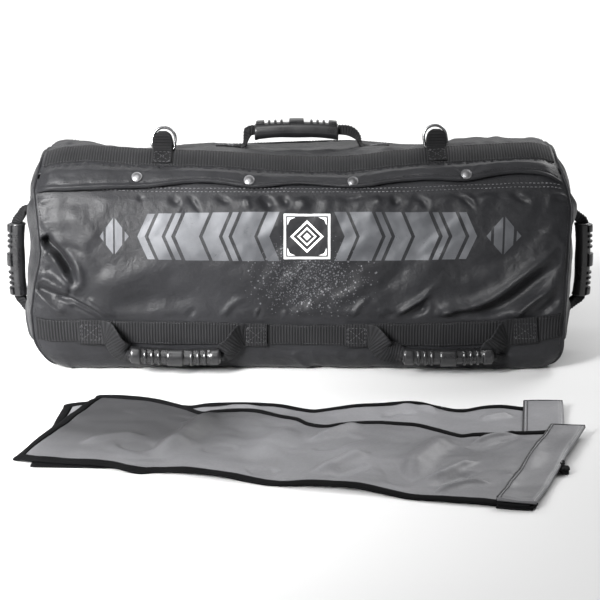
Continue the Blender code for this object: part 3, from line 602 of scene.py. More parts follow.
def join(name, parts):
    """One object from several."""
    keep = parts[0]
    mats, verts, faces, slots, uvs = [], [], [], [], []
    base = 0
    any_uv = any(o.data.uv_layers for o in parts)
    for o in parts:
        me = o.data
        co = np.zeros(len(me.vertices) * 3, np.float32)
        me.vertices.foreach_get("co", co)
        verts.append(co.reshape(-1, 3))
        for m in me.materials:
            if m not in mats:
                mats.append(m)
        for p in me.polygons:
            faces.append(tuple(v + base for v in p.vertices))
            slots.append(mats.index(me.materials[p.material_index]))
        if any_uv:
            if me.uv_layers:
                u = np.zeros(len(me.loops) * 2, np.float32)
                me.uv_layers[0].data.foreach_get("uv", u)
                uvs.append(u.reshape(-1, 2))
            else:
                uvs.append(np.zeros((len(me.loops), 2), np.float32))
        base += len(me.vertices)
    me = bpy.data.meshes.new(name)
    me.from_pydata(np.vstack(verts).tolist(), [], faces)
    for m in mats:
        me.materials.append(m)
    me.polygons.foreach_set("material_index", slots)
    me.polygons.foreach_set("use_smooth", [True] * len(faces))
    if any_uv:
        layer = me.uv_layers.new(name="lay")
        layer.data.foreach_set("uv", np.vstack(uvs).ravel())
    ob = bpy.data.objects.new(name, me)
    scene.collection.objects.link(ob)
    for o in parts:
        old = o.data
        bpy.data.objects.remove(o)
        bpy.data.meshes.remove(old)
    return ob


def sharpen(ob, degrees=38):
    """Keeps crisp edges crisp under smooth shading."""
    me = ob.data
    bm = bmesh.new()
    bm.from_mesh(me)
    lim = math.radians(degrees)
    for e in bm.edges:
        e.smooth = not (len(e.link_faces) == 2 and e.calc_face_angle(0.0) > lim)
    bm.to_mesh(me)
    bm.free()
    return ob


def stitches(name, lines, mat, pitch=0.0046, length=0.0032, r=0.00042, jitter=1):
    """Sewn thread along lines of (points, normals): one raised capsule for each stitch."""
    ring = 6
    ang = np.arange(ring) * 2 * PI / ring
    verts, faces, base = [], [], 0
    for q, (pts, nrm) in enumerate(lines):
        pts, nrm = np.asarray(pts, float), np.asarray(nrm, float)
        run = np.concatenate([[0], np.cumsum(np.linalg.norm(np.diff(pts, axis=0), axis=1))])
        n = int(run[-1] / pitch)
        if n < 1:
            continue
        wob = noise2(np.arange(n) * 0.73 + 5 * q, q * 1.7 + jitter, 91)
        for i in range(n):
            mid = (i + 0.5) * run[-1] / n
            rows = []
            for f, rad, up in ((-0.5, 0.35, -0.5), (-0.36, 0.9, 0.25), (0.0, 1.0, 0.55), (0.36, 0.9, 0.25), (0.5, 0.35, -0.5)):
                t = mid + f * length * (1 + 0.12 * wob[i])
                c = np.array([np.interp(t, run, pts[:, k]) for k in range(3)])
                d = np.array([np.interp(t, run, nrm[:, k]) for k in range(3)])
                d /= np.linalg.norm(d)
                a = pts[min(np.searchsorted(run, mid), len(pts) - 1)] - pts[max(np.searchsorted(run, mid) - 1, 0)]
                a /= max(np.linalg.norm(a), 1e-9)
                side = np.cross(a, d)
                side += a * 0.22 * wob[i]
                side /= max(np.linalg.norm(side), 1e-9)
                c = c + d * r * up
                rows.append(c + rad * r * (np.cos(ang)[:, None] * side + np.sin(ang)[:, None] * d))
            rows = np.array(rows)
            verts.append(rows.reshape(-1, 3))
            f = grid_faces(5, ring, False, True) + base
            faces += [tuple(x) for x in f]
            faces += [tuple(base + k for k in reversed(range(ring))), tuple(base + 4 * ring + k for k in range(ring))]
            base += 5 * ring
    return make(name, np.vstack(verts), faces, mat, fix_normals=True)


# ============================================================== the bag's cloth
def stroke(x, s, points, width, height, kind="ridge", ends=(0.25, 0.25), lean=0.0):
    """A crease: the offset it gives at every (x, s). points are (x, s) along it."""
    pts = np.asarray(points, float)
    if len(pts) > 2:
        pts, _p, _r = curve_through(pts, 0.006)
    else:
        pts = np.linspace(pts[0], pts[1], 12)
    reach = 3.2 * width
    box = (x > pts[:, 0].min() - reach) & (x < pts[:, 0].max() + reach) & \
          (s > pts[:, 1].min() - reach) & (s < pts[:, 1].max() + reach)
    out = np.zeros(x.shape)
    if not box.any():
        return out
    q = np.stack([x[box], s[box]], 1)
    seg = np.diff(pts, axis=0)
    ln = np.linalg.norm(seg, axis=1)
    run = np.concatenate([[0], np.cumsum(ln)])
    best, along, sign = np.full(len(q), 1e9), np.zeros(len(q)), np.ones(len(q))
    for i in range(len(seg)):
        t = np.clip(((q - pts[i]) @ seg[i]) / (ln[i] ** 2), 0, 1)
        d = q - (pts[i] + t[:, None] * seg[i])
        r = np.hypot(d[:, 0], d[:, 1])
        better = r < best
        best[better] = r[better]
        along[better] = (run[i] + t * ln[i])[better]
        sign[better] = np.sign(seg[i][0] * d[:, 1] - seg[i][1] * d[:, 0])[better]
    t = along / run[-1]
    fade = np.ones(len(q))
    if ends[0] > 0:
        fade *= smooth(0, ends[0], t)
    if ends[1] > 0:
        fade *= smooth(0, ends[1], 1 - t)
    w = width * (1 + lean * sign) * (0.55 + 0.45 * fade)
    d = best * sign / w
    if kind == "ridge":
        g = np.exp(-d * d)
    elif kind == "crest":
        g = 1.0 / (1.0 + (np.abs(d) * 1.5) ** 1.7) * np.exp(-0.35 * d * d)
    else:  # a fold: raised on one side, sunk on the other
        g = np.exp(-(d - 0.55) ** 2 * 1.6) - 0.95 * np.exp(-(d + 0.55) ** 2 * 1.6)
    out[box] = height * fade * g
    return out


def px_points(*xy):
    return [on_front(a, b) for a, b in xy]


slit_a, slit_b = ZIP_S - ZIP_SLIT / 2, ZIP_S + ZIP_SLIT / 2
STEP = 0.0022
XS = np.linspace(-WRAP_HALF, WRAP_HALF, int(2 * WRAP_HALF / STEP) | 1)
TS = np.linspace(slit_b, 2 * HALF + slit_a, int((2 * HALF - ZIP_SLIT) / STEP) | 1)
GX, GT = np.meshgrid(XS, TS, indexing="ij")
GS = (GT + HALF) % (2 * HALF) - HALF            # signed girth position


def quiet(s, a, b, soft):
    """0 between a and b, 1 further than soft outside."""
    return np.maximum(smooth(0, soft, a - s), smooth(0, soft, s - b))


A = np.abs(GS)
free = quiet(A, TOP_BAND_S - 0.001, TOP_BAND_S + WEB_WIDE + 0.001, 0.016) * \
    quiet(A, LOW_BAND_S - 0.001, LOW_BAND_S + WEB_WIDE + 0.001, 0.014)
free *= smooth(0, 0.010, WRAP_HALF - np.abs(GX))
zip_free = quiet(GS, 0.098, 0.1405, 0.012)
free *= zip_free
floor_free = smooth(0, 0.02, 0.425 - A)
free *= floor_free

D = np.zeros(GX.shape)
# broad slackness, then smaller buckling
D += 0.0030 * fbm(GX / 0.150 + 3.1, GS / 0.105 + 1.7, 11, 2, 0.45)
D += 0.0012 * np.abs(fbm(GX / 0.060 + 0.3 + 1.4 * GS / 0.1, GS / 0.085, 23, 2, 0.5)) ** 1.3 * 2.0
tilt = GX * 0.8 + GS * 0.6
D += 0.0011 * (0.5 - np.abs(noise2(tilt / 0.036 + 0.35 * noise2(GX / 0.05, GS / 0.05, 3), (GS - 0.5 * GX) / 0.085, 43))) * \
    smooth(-0.3, 0.6, noise2(GX / 0.11, GS / 0.09, 44))
D += 0.0008 * (0.5 - np.abs(noise2((GX - GS) / 0.022 + 0.4 * noise2(GX / 0.04, GS / 0.04, 5), (GS + GX) / 0.060, 47))) * \
    smooth(-0.2, 0.6, noise2(GX / 0.08 + 7, GS / 0.08, 48))
D += 0.00040 * fbm(GX / 0.014, GS / 0.017, 41, 2, 0.5)

D *= 0.95 - 0.62 * smooth(0.00, -0.14, GX) * smooth(0.10, 0.14, GS)
# gathers where the cloth is sewn to webbing and along the zip's facing
for s0, way, amp, seed in ((LOW_BAND_S - 0.001, -1, 1.0, 5), (LOW_BAND_S + WEB_WIDE + 0.001, 1, 0.8, 6),
                           (0.1405, 1, 0.95, 7), (TOP_BAND_S - 0.001, -1, 1.0, 8),
                           (-LOW_BAND_S + 0.001, 1, 1.0, 15), (-LOW_BAND_S - WEB_WIDE - 0.001, -1, 0.8, 16),
                           (-TOP_BAND_S - WEB_WIDE - 0.001, -1, 1.1, 17), (-TOP_BAND_S + 0.001, 1, 1.0, 18)):
    d = (GS - s0) * way
    lean = 0.35 * d
    wave = noise2((GX + lean) / 0.0165 + 9.7 * seed, seed * 3.3, seed) + 0.6 * noise2(GX / 0.028 + seed, 2.0 + seed, seed + 60)
    reach = 0.016 + 0.020 * (0.5 + 0.5 * noise2(GX / 0.03 + seed, 7.7, seed + 3))
    calm = 1 - 0.55 * smooth(0.03, -0.05, GX) * (0 < s0 < LOW_BAND_S)
    wave = wave * (1 - 0.55 * smooth(-0.14, -0.26, GX)) * calm
    D += np.where(d > 0, 0.0027 * amp * wave * smooth(0, 0.006, d) * np.exp(-(d / reach) ** 1.6), 0.0)
    D += np.where(d > 0, 0.0016 * calm * smooth(0, 0.010, d) * np.exp(-(d / 0.030) ** 2), 0.0)

FRONT = [
    # the big fold at the left end: a pocket opening from the seam, its lower lip standing out
    (px_points((38, 236), (43, 244), (51, 252), (61, 264), (70, 276), (76, 284)), 0.0058, -0.0215, "ridge", (0.02, 0.28), 0.0),
    (px_points((41, 252), (47, 254), (52, 261), (60, 270), (68, 279), (74, 285)), 0.0056, 0.0062, "ridge", (0.02, 0.20), 0.0),
    (px_points((42, 266), (50, 274), (60, 281)), 0.0070, -0.0022, "ridge", (0.2, 0.3), 0.0),
    (px_points((34, 281), (40, 279.5), (48, 281), (58, 286), (66, 290), (72, 291.5)), 0.0062, 0.0054, "ridge", (0.05, 0.12), 0.0),
    (px_points((71, 291), (77, 288), (80.5, 282), (78, 273), (72, 263), (64, 252)), 0.0060, 0.0036, "ridge", (0.06, 0.50), 0.0),
    (px_points((54, 244), (68, 249), (84, 255)), 0.0050, -0.0018, "ridge", (0.3, 0.4), 0.0),
    (px_points((36, 290), (48, 292), (60, 296), (74, 300)), 0.0044, -0.0026, "ridge", (0.1, 0.3), 0.0),
    (px_points((34, 284), (46, 292), (62, 298), (84, 299)), 0.0066, -0.0034, "ridge", (0.1, 0.4), 0.0),
    (px_points((52, 294), (64, 301), (78, 307)), 0.0030, 0.0024, "crest", (0.2, 0.3), 0.0),
    (px_points((36, 292), (46, 300), (60, 310), (76, 318)), 0.0050, 0.0030, "crest", (0.1, 0.3), 0.0),
    (px_points((66, 294), (82, 302), (98, 311), (110, 320)), 0.0026, -0.0030, "fold", (0.15, 0.1), 0.0),
    (px_points((72, 303), (88, 311), (103, 320)), 0.0024, -0.0024, "fold", (0.15, 0.1), 0.0),
    (px_points((88, 298), (102, 306), (118, 318)), 0.0034, 0.0026, "crest", (0.2, 0.2), 0.0),
    (px_points((88, 290), (118, 281), (150, 270), (185, 262)), 0.0170, 0.0036, "ridge", (0.3, 0.4), 0.0),
    (px_points((104, 308), (140, 303), (178, 297), (205, 300)), 0.0150, -0.0030, "ridge", (0.3, 0.3), 0.0),
    (px_points((34, 210), (56, 203), (84, 206), (108, 201)), 0.0090, -0.0016, "ridge", (0.1, 0.3), 0.0),
    (px_points((36, 226), (52, 222), (72, 228)), 0.0090, 0.0016, "ridge", (0.1, 0.4), 0.0),
    (px_points((60, 212), (82, 226), (98, 247)), 0.0110, 0.0018, "ridge", (0.3, 0.3), 0.0),
    (px_points((84, 240), (98, 262), (108, 280)), 0.0100, -0.0015, "ridge", (0.3, 0.3), 0.0),
    # pits and puckers below the flap
    (px_points((139, 192), (142, 203)), 0.0040, -0.0040, "ridge", (0.3, 0.5), 0.0),
    (px_points((171, 194), (180, 208)), 0.0055, -0.0042, "ridge", (0.2, 0.5), 0.0),
    (px_points((188, 193), (196, 206), (202, 214)), 0.0040, -0.0034, "ridge", (0.2, 0.4), 0.0),
    (px_points((214, 193), (232, 205)), 0.0050, -0.0046, "ridge", (0.2, 0.4), 0.0),
    (px_points((262, 194), (268, 204), (268, 213)), 0.0080, -0.0078, "ridge", (0.15, 0.4), 0.0),
    (px_points((281, 194), (289, 208)), 0.0055, -0.0052, "ridge", (0.15, 0.4), 0.0),
    (px_points((246, 196), (250, 212)), 0.0050, 0.0032, "crest", (0.15, 0.4), 0.0),
    (px_points((300, 196), (306, 212)), 0.0070, 0.0030, "ridge", (0.15, 0.4), 0.0),
    (px_points((336, 199), (352, 195), (366, 197)), 0.0050, -0.0062, "ridge", (0.3, 0.3), 0.0),
    (px_points((374, 194), (381, 206)), 0.0045, 0.0036, "crest", (0.2, 0.4), 0.0),
    (px_points((392, 194), (398, 208)), 0.0050, -0.0056, "ridge", (0.2, 0.4), 0.0),
    (px_points((412, 193), (424, 203), (428, 212)), 0.0048, -0.0048, "ridge", (0.2, 0.4), 0.0),
    (px_points((448, 190), (466, 200), (478, 214)), 0.0050, -0.0036, "fold", (0.2, 0.4), 0.0),
    (px_points((505, 193), (514, 202), (524, 208)), 0.0044, -0.0044, "ridge", (0.3, 0.4), 0.0),
    (px_points((528, 190), (545, 197), (562, 198)), 0.0050, 0.0036, "crest", (0.3, 0.2), 0.0),
    (px_points((540, 202), (552, 203), (566, 206)), 0.0034, -0.0032, "ridge", (0.3, 0.2), 0.0),
    # the long curved folds at the right end
    (px_points((437, 317), (450, 310), (470, 306), (486, 300), (501, 290), (516, 277), (531, 264), (546, 250), (552, 238)), 0.0105, 0.0110, "crest", (0.06, 0.35), 0.0),
    (px_points((446, 322), (472, 317), (494, 309), (512, 298), (527, 284), (541, 271), (552, 258)), 0.0100, -0.0110, "ridge", (0.1, 0.25), 0.0),
    (px_points((509, 320), (517, 310), (528, 300), (541, 291), (554, 284)), 0.0052, 0.0085, "crest", (0.03, 0.35), 0.0),
    (px_points((556, 236), (558, 256), (554, 274)), 0.0075, 0.0040, "ridge", (0.3, 0.3), 0.0),
    (px_points((528, 232), (546, 236), (556, 250)), 0.0060, 0.0022, "crest", (0.3, 0.3), 0.0),
    (px_points((522, 321), (540, 309), (558, 294)), 0.0075, -0.0050, "ridge", (0.2, 0.3), 0.0),
    (px_points((530, 318), (545, 302), (557, 282)), 0.0060, -0.0026, "ridge", (0.2, 0.3), 0.0),
    (px_points((470, 262), (498, 258), (522, 240), (540, 222)), 0.0120, -0.0030, "ridge", (0.3, 0.3), 0.0),
    (px_points((455, 285), (480, 280), (502, 266)), 0.0110, 0.0026, "ridge", (0.3, 0.3), 0.0),
    (px_points((392, 318), (407, 308), (423, 297), (436, 284)), 0.0060, 0.0082, "crest", (0.1, 0.45), 0.2),
    (px_points((382, 319), (400, 314), (420, 305), (436, 296)), 0.0056, -0.0058, "ridge", (0.1, 0.35), 0.0),
    (px_points((404, 321), (418, 313), (430, 303)), 0.0050, -0.0085, "ridge", (0.1, 0.35), 0.0),
    (px_points((412, 322), (430, 318), (446, 312)), 0.0046, 0.0044, "crest", (0.1, 0.3), 0.0),
    (px_points((376, 290), (392, 280), (410, 262)), 0.0100, -0.0032, "ridge", (0.3, 0.3), 0.0),
    (px_points((330, 300), (352, 292), (372, 275)), 0.0090, 0.0024, "ridge", (0.3, 0.3), 0.0),
    (px_points((352, 318), (360, 305), (372, 296)), 0.0050, 0.0034, "crest", (0.1, 0.4), 0.0),
    (px_points((256, 319), (261, 306)), 0.0034, -0.0030, "fold", (0.05, 0.5), 0.0),
    (px_points((282, 319), (288, 308)), 0.0040, 0.0026, "crest", (0.05, 0.5), 0.0),
    (px_points((222, 319), (232, 304), (250, 296)), 0.0050, 0.0028, "ridge", (0.05, 0.5), 0.0),
    (px_points((188, 319), (196, 306)), 0.0040, -0.0028, "ridge", (0.05, 0.5), 0.0),
    # broad hollows of the middle
    (px_points((120, 240), (180, 250), (250, 280), (300, 296)), 0.0260, 0.0030, "ridge", (0.3, 0.3), 0.0),
    (px_points((300, 275), (350, 262), (410, 240), (450, 225)), 0.0220, -0.0026, "ridge", (0.3, 0.3), 0.0),
    (px_points((160, 352), (200, 358), (250, 352)), 0.0080, 0.0016, "ridge", (0.3, 0.3), 0.0),
    (px_points((276, 349), (296, 357), (322, 362)), 0.0070, 0.0022, "crest", (0.15, 0.4), 0.0),
    (px_points((508, 350), (530, 354), (548, 352)), 0.0080, 0.0018, "ridge", (0.2, 0.4), 0.0),
    (px_points((60, 349), (82, 353), (104, 351)), 0.0080, 0.0020, "ridge", (0.2, 0.4), 0.0),
]
for pts, w, h, kind, ends, lean in FRONT:
    D += stroke(GX, GS, pts, w, h, kind, ends, lean)

# the top panel, the rear and the ends' corners, drawn as length and girth
REAR = [
    ([(-0.33, -0.20), (-0.29, -0.235), (-0.25, -0.285)], 0.0080, -0.0085, "ridge", (0.1, 0.35), 0.2),
    ([(-0.335, -0.225), (-0.30, -0.262), (-0.27, -0.300)], 0.0045, 0.0052, "crest", (0.05, 0.3), 0.0),
    ([(-0.20, -0.29), (-0.14, -0.27), (-0.09, -0.235), (-0.06, -0.19)], 0.0065, 0.0060, "crest", (0.15, 0.4), 0.2),
    ([(-0.17, -0.30), (-0.11, -0.285), (-0.05, -0.25)], 0.0065, -0.0055, "ridge", (0.15, 0.4), 0.0),
    ([(0.335, -0.19), (0.30, -0.225), (0.27, -0.27), (0.25, -0.305)], 0.0065, -0.0080, "ridge", (0.1, 0.3), 0.0),
    ([(0.338, -0.215), (0.31, -0.25), (0.285, -0.30)], 0.0042, 0.0055, "crest", (0.05, 0.3), 0.0),
    ([(0.02, -0.305), (0.07, -0.285), (0.13, -0.24), (0.17, -0.20)], 0.0060, 0.0056, "crest", (0.1, 0.4), 0.0),
    ([(0.06, -0.306), (0.12, -0.28), (0.18, -0.25)], 0.0060, -0.0058, "ridge", (0.1, 0.4), 0.0),
    ([(-0.02, -0.115), (-0.01, -0.15), (0.02, -0.18)], 0.0050, -0.0042, "ridge", (0.1, 0.4), 0.0),
    ([(0.21, -0.112), (0.20, -0.15), (0.17, -0.175)], 0.0050, -0.0040, "fold", (0.1, 0.4), 0.0),
    ([(-0.24, -0.113), (-0.23, -0.15), (-0.25, -0.18)], 0.0050, -0.0040, "fold", (0.1, 0.4), 0.0),
    ([(-0.12, -0.16), (-0.02, -0.20), (0.08, -0.205)], 0.0200, 0.0034, "ridge", (0.3, 0.3), 0.0),
    # a hollow behind the right tab, where its ring lies back
    ([(0.166, 0.032), (0.192, 0.027), (0.218, 0.032)], 0.0130, -0.0036, "ridge", (0.3, 0.3), 0.0),
    # top panel
    ([(-0.335, 0.045), (-0.30, 0.020), (-0.25, 0.008), (-0.20, 0.010)], 0.0090, 0.0050, "ridge", (0.1, 0.5), 0.0),
    ([(-0.330, 0.010), (-0.28, -0.020), (-0.22, -0.030)], 0.0080, -0.0040, "ridge", (0.1, 0.4), 0.0),
    ([(-0.05, 0.052), (0.01, 0.030), (0.08, 0.020), (0.15, 0.035)], 0.0120, 0.0034, "ridge", (0.3, 0.3), 0.0),
    ([(0.03, 0.056), (0.06, 0.040), (0.11, 0.034)], 0.0042, 0.0026, "crest", (0.2, 0.4), 0.0),
    ([(0.18, 0.040), (0.24, 0.020), (0.31, 0.026)], 0.0100, 0.0028, "ridge", (0.3, 0.3), 0.0),
    ([(0.10, -0.050), (0.16, -0.020), (0.24, -0.016), (0.32, -0.035)], 0.0080, -0.0036, "ridge", (0.2, 0.3), 0.0),
    ([(-0.15, -0.050), (-0.10, -0.020), (-0.02, -0.012), (0.06, -0.040)], 0.0075, 0.0034, "crest", (0.2, 0.3), 0.0),
    ([(-0.20, 0.050), (-0.15, 0.030), (-0.11, 0.034)], 0.0060, -0.0030, "ridge", (0.2, 0.4), 0.0),
]
for pts, w, h, kind, ends, lean in REAR:
    D += stroke(GX, GS, pts, w, h, kind, ends, lean)

# the cloth draws in a little along each end seam, in short radial gathers
for sign in (-1, 1):
    d = WRAP_HALF - sign * GX
    wave = noise2(GT / 0.016 + 31 * sign, 4.4 * sign, 77) + 0.5 * noise2(GT / 0.007, 9.1 * sign, 78)
    D += 0.0013 * wave * smooth(0.001, 0.010, d) * np.exp(-(d / 0.024) ** 1.5)

D *= free
# webbing presses into the cloth
for s0 in (TOP_BAND_S, LOW_BAND_S):
    D -= 0.0004 * smooth(-0.002, 0.003, A - s0) * smooth(-0.002, 0.003, s0 + WEB_WIDE - A)

P0 = plain(GX, GS)
yy, zz, ny, nz = section(GS)
N0 = np.stack([np.zeros_like(ny), ny, nz], -1)
BODY = P0 + N0 * D[..., None]
# the filling settles: the floor keeps the underside flat
BODY[..., 2] = np.maximum(BODY[..., 2], 0.0003 + 0.0002 * (1 + noise2(GX / 0.02, GS / 0.02, 5)))
BODY = warp(BODY)


def grid_normals(p, flip=False):
    du, dv = np.gradient(p, axis=0), np.gradient(p, axis=1)
    n = np.cross(dv, du)
    n /= np.maximum(np.linalg.norm(n, axis=-1, keepdims=True), 1e-12)
    return -n if flip else n


BODY_N = grid_normals(BODY)


def _cell(values, x, s):
    x, s = np.broadcast_arrays(np.asarray(x, float), np.asarray(s, float))
    t = np.where(s < (slit_a + slit_b) / 2, s + 2 * HALF, s)
    i = np.clip((x - XS[0]) / (XS[1] - XS[0]), 0, len(XS) - 1.0001)
    j = np.clip((t - TS[0]) / (TS[1] - TS[0]), 0, len(TS) - 1.0001)
    i0, j0 = i.astype(int), j.astype(int)
    fi, fj = (i - i0)[..., None], (j - j0)[..., None]
    return values[i0, j0] * (1 - fi) * (1 - fj) + values[i0 + 1, j0] * fi * (1 - fj) + \
        values[i0, j0 + 1] * (1 - fi) * fj + values[i0 + 1, j0 + 1] * fi * fj


def skin(x, s, off=0.0):
    """A point on the bag's visible cloth."""
    n = _cell(BODY_N, x, s)
    n = n / np.maximum(np.linalg.norm(n, axis=-1, keepdims=True), 1e-9)
    return _cell(BODY, x, s) + n * (np.asarray(off, float)[..., None] if np.ndim(off) else off)


def skin_n(x, s):
    n = _cell(BODY_N, x, s)
    return n / np.maximum(np.linalg.norm(n, axis=-1, keepdims=True), 1e-9)


# turn the cloth's raw edges in: along the slit, and at both ends
rim = 3
P = BODY
first = [P[:, :1] - BODY_N[:, :1] * d + (P[:, 1:2] - P[:, :1]) * k for d, k in ((0.0030, 1.6), (0.0020, 0.3), (0.0008, -0.10))]
last = [P[:, -1:] - BODY_N[:, -1:] * d + (P[:, -2:-1] - P[:, -1:]) * k for d, k in ((0.0008, -0.10), (0.0020, 0.3), (0.0030, 1.6))]
P = np.concatenate(first + [P] + last, 1)
N = np.concatenate([BODY_N[:, :1]] * 3 + [BODY_N] + [BODY_N[:, -1:]] * 3, 1)
ends0 = [P[:1] - N[:1] * d + np.array([k, 0, 0]) for d, k in ((0.0042, 0.0008), (0.0016, 0.0001))]
ends1 = [P[-1:] - N[-1:] * d - np.array([k, 0, 0]) for d, k in ((0.0016, 0.0001), (0.0042, 0.0008))]
P = np.concatenate(ends0 + [P] + ends1, 0)
U = np.concatenate([[TS[0] - 0.004, TS[0] - 0.002, TS[0] - 0.001], TS, [TS[-1] + 0.001, TS[-1] + 0.002, TS[-1] + 0.004]])
X2 = np.concatenate([[XS[0] - 0.002, XS[0] - 0.001], XS, [XS[-1] + 0.001, XS[-1] + 0.002]])
UV = np.stack(np.meshgrid(X2, U, indexing="ij"), -1)
wrap = grid("bag_wrap", P, NYLON, UV)
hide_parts("wrap_shell")
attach(wrap, "bag")

# ============================================================== end panels
RIM_IN = SKIN + GAP


def end_panel(name, sign, node):
    ts = np.linspace(0, 2 * HALF, 421)[:-1]
    ks = np.concatenate([[1.0, 0.992, 0.98], np.linspace(0.96, 0.10, 44), [0.05]])
    ss = (ts + HALF) % (2 * HALF) - HALF
    y, z, ny_, nz_ = section(ss)
    f = float(shrink(WRAP_HALF - 0.0005))
    ry, rz = y * f - ny_ * 0.0012, (z - CENTRE_Z) * f - nz_ * 0.0012
    K, _ = np.meshgrid(ks, ts, indexing="ij")
    Yp, Zp = ry[None] * K, rz[None] * K
    x = WRAP_HALF - 0.0012 + (DOME + 0.0002) * (1 - K ** 3)
    loose = smooth(0.0, 0.16, 1 - K) * (1 - np.exp(-((Yp / 0.030) ** 2)) * smooth(0.04, 0.055, np.abs(Zp + 0.012)))
    seed = 100 + sign
    wav = 0.0034 * fbm(Yp / 0.075 + 4 * sign, Zp / 0.11, seed, 2, 0.5)
    wav += 0.0016 * noise2(ts[None] / 0.022 + 3 * sign, K * 2.2, seed + 7) * smooth(0, 0.05, 1 - K) * np.exp(-((1 - K) / 0.22) ** 2) * 1.5
    wav += stroke(Yp, Zp, [(-0.13, 0.10), (-0.09, 0.075), (-0.055, 0.03)], 0.010, 0.0060, "ridge", (0.1, 0.5))
    wav += stroke(Yp, Zp, [(-0.135, 0.075), (-0.10, 0.045), (-0.07, 0.0)], 0.009, -0.0055, "ridge", (0.1, 0.5))
    wav += stroke(Yp, Zp, [(0.13, 0.10), (0.09, 0.070), (0.05, 0.04)], 0.010, 0.0055, "ridge", (0.1, 0.5))
    wav += stroke(Yp, Zp, [(-0.12, -0.11), (-0.08, -0.07), (-0.03, -0.055)], 0.009, 0.0050, "crest", (0.1, 0.5))
    wav += stroke(Yp, Zp, [(0.12, -0.11), (0.075, -0.075), (0.04, -0.03)], 0.009, 0.0050, "crest", (0.1, 0.5))
    wav += stroke(Yp, Zp, [(-0.10, -0.03), (-0.06, -0.015), (-0.02, 0.01)], 0.012, -0.0032, "ridge", (0.2, 0.5))
    wav *= loose * smooth(0.02, 0.05, Zp + CENTRE_Z)
    x = x + wav
    p = np.stack([sign * x, Yp, CENTRE_Z + Zp], -1)
    p[..., 2] = np.maximum(p[..., 2], 0.0006)
    p = warp(p, (0.25 + 0.75 * K ** 2))
    n, m = p.shape[:2]
    faces = grid_faces(n, m, False, True, flip=sign < 0)
    mid = p[-1].mean(0, keepdims=True)
    verts = np.vstack([p.reshape(-1, 3), mid])
    tri = [((n - 1) * m + j, (n - 1) * m + (j + 1) % m, n * m) for j in range(m)]
    tri = [t[::-1] for t in tri] if sign < 0 else tri
    uv = np.vstack([np.stack([Yp, Zp], -1).reshape(-1, 2), [[0, 0]]])
    ob = make(name, verts, [tuple(q) for q in faces] + tri, NYLON, uv)
    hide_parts(node)
    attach(ob, "bag")
    return p


END_L = end_panel("end_cloth_left", -1, "left_end_panel")
END_R = end_panel("end_cloth_right", 1, "right_end_panel")


def end_skin(sign, y, z, off=0.0):
    """A point on an end panel near its middle line."""
    p = (END_L if sign < 0 else END_R).reshape(-1, 3)
    y, z = np.broadcast_arrays(np.asarray(y, float), np.asarray(z, float))
    out = np.empty(y.shape + (3,))
    flat = out.reshape(-1, 3)
    for q, (a, b) in enumerate(zip(y.ravel(), z.ravel())):
        d = np.hypot(p[:, 1] - a, p[:, 2] - b)
        k = np.argpartition(d, 4)[:4]
        w = 1 / (d[k] + 1e-4)
        flat[q] = (sign * ((np.abs(p[k, 0]) * w).sum() / w.sum() + off), a, b)
    return out


# seam ridges round both ends
seam_lines = []
for sign, tag in ((-1, "left"), (1, "right")):
    ts = np.linspace(0, 2 * HALF, 361)[:-1]
    y, z, ny_, nz_ = section(ts)
    f = float(shrink(WRAP_HALF))
    c = np.stack([np.full_like(y, sign * (WRAP_HALF - 0.0006)), y * f + ny_ * 0.0002, CENTRE_Z + (z - CENTRE_Z) * f + nz_ * 0.0002], -1)
    nrm = np.stack([np.zeros_like(y), ny_, nz_], -1)
    c = c + nrm * (0.0004 * noise2(ts / 0.02, 3.0 * sign, 9))[:, None]
    c[:, 2] = np.maximum(c[:, 2], 0.0022)
    c = warp(c)
    ang = np.linspace(0, 2 * PI, 11)[:-1]
    out = np.array([sign * 0.75, 0, 0]) + nrm * 0.66
    out /= np.linalg.norm(out, axis=1)[:, None]
    side = np.cross(out, np.gradient(c, axis=0))
    side /= np.linalg.norm(side, axis=1)[:, None]
    rings = c[:, None] + out[:, None] * (np.cos(ang) * 0.0022)[None, :, None] + side[:, None] * (np.sin(ang) * 0.0014)[None, :, None]
    ob = make("end_seam_" + tag, rings, grid_faces(len(c), 10, True, True), NYLON,
              np.stack(np.meshgrid(ts, ang * 0.002, indexing="ij"), -1), fix_normals=True)
    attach(ob, "bag")
    for inset in (0.0055,):
        xs = np.full(600, sign * (WRAP_HALF - inset))
        st = np.linspace(slit_b + 0.002, 2 * HALF + slit_a - 0.002, 600)
        st2 = (st + HALF) % (2 * HALF) - HALF
        keep = np.abs(st2) < 0.44
        for part in (keep & (st < HALF), keep & (st >= HALF)):
            seam_lines.append((skin(xs[part], st[part], 0.0001), skin_n(xs[part], st[part])))

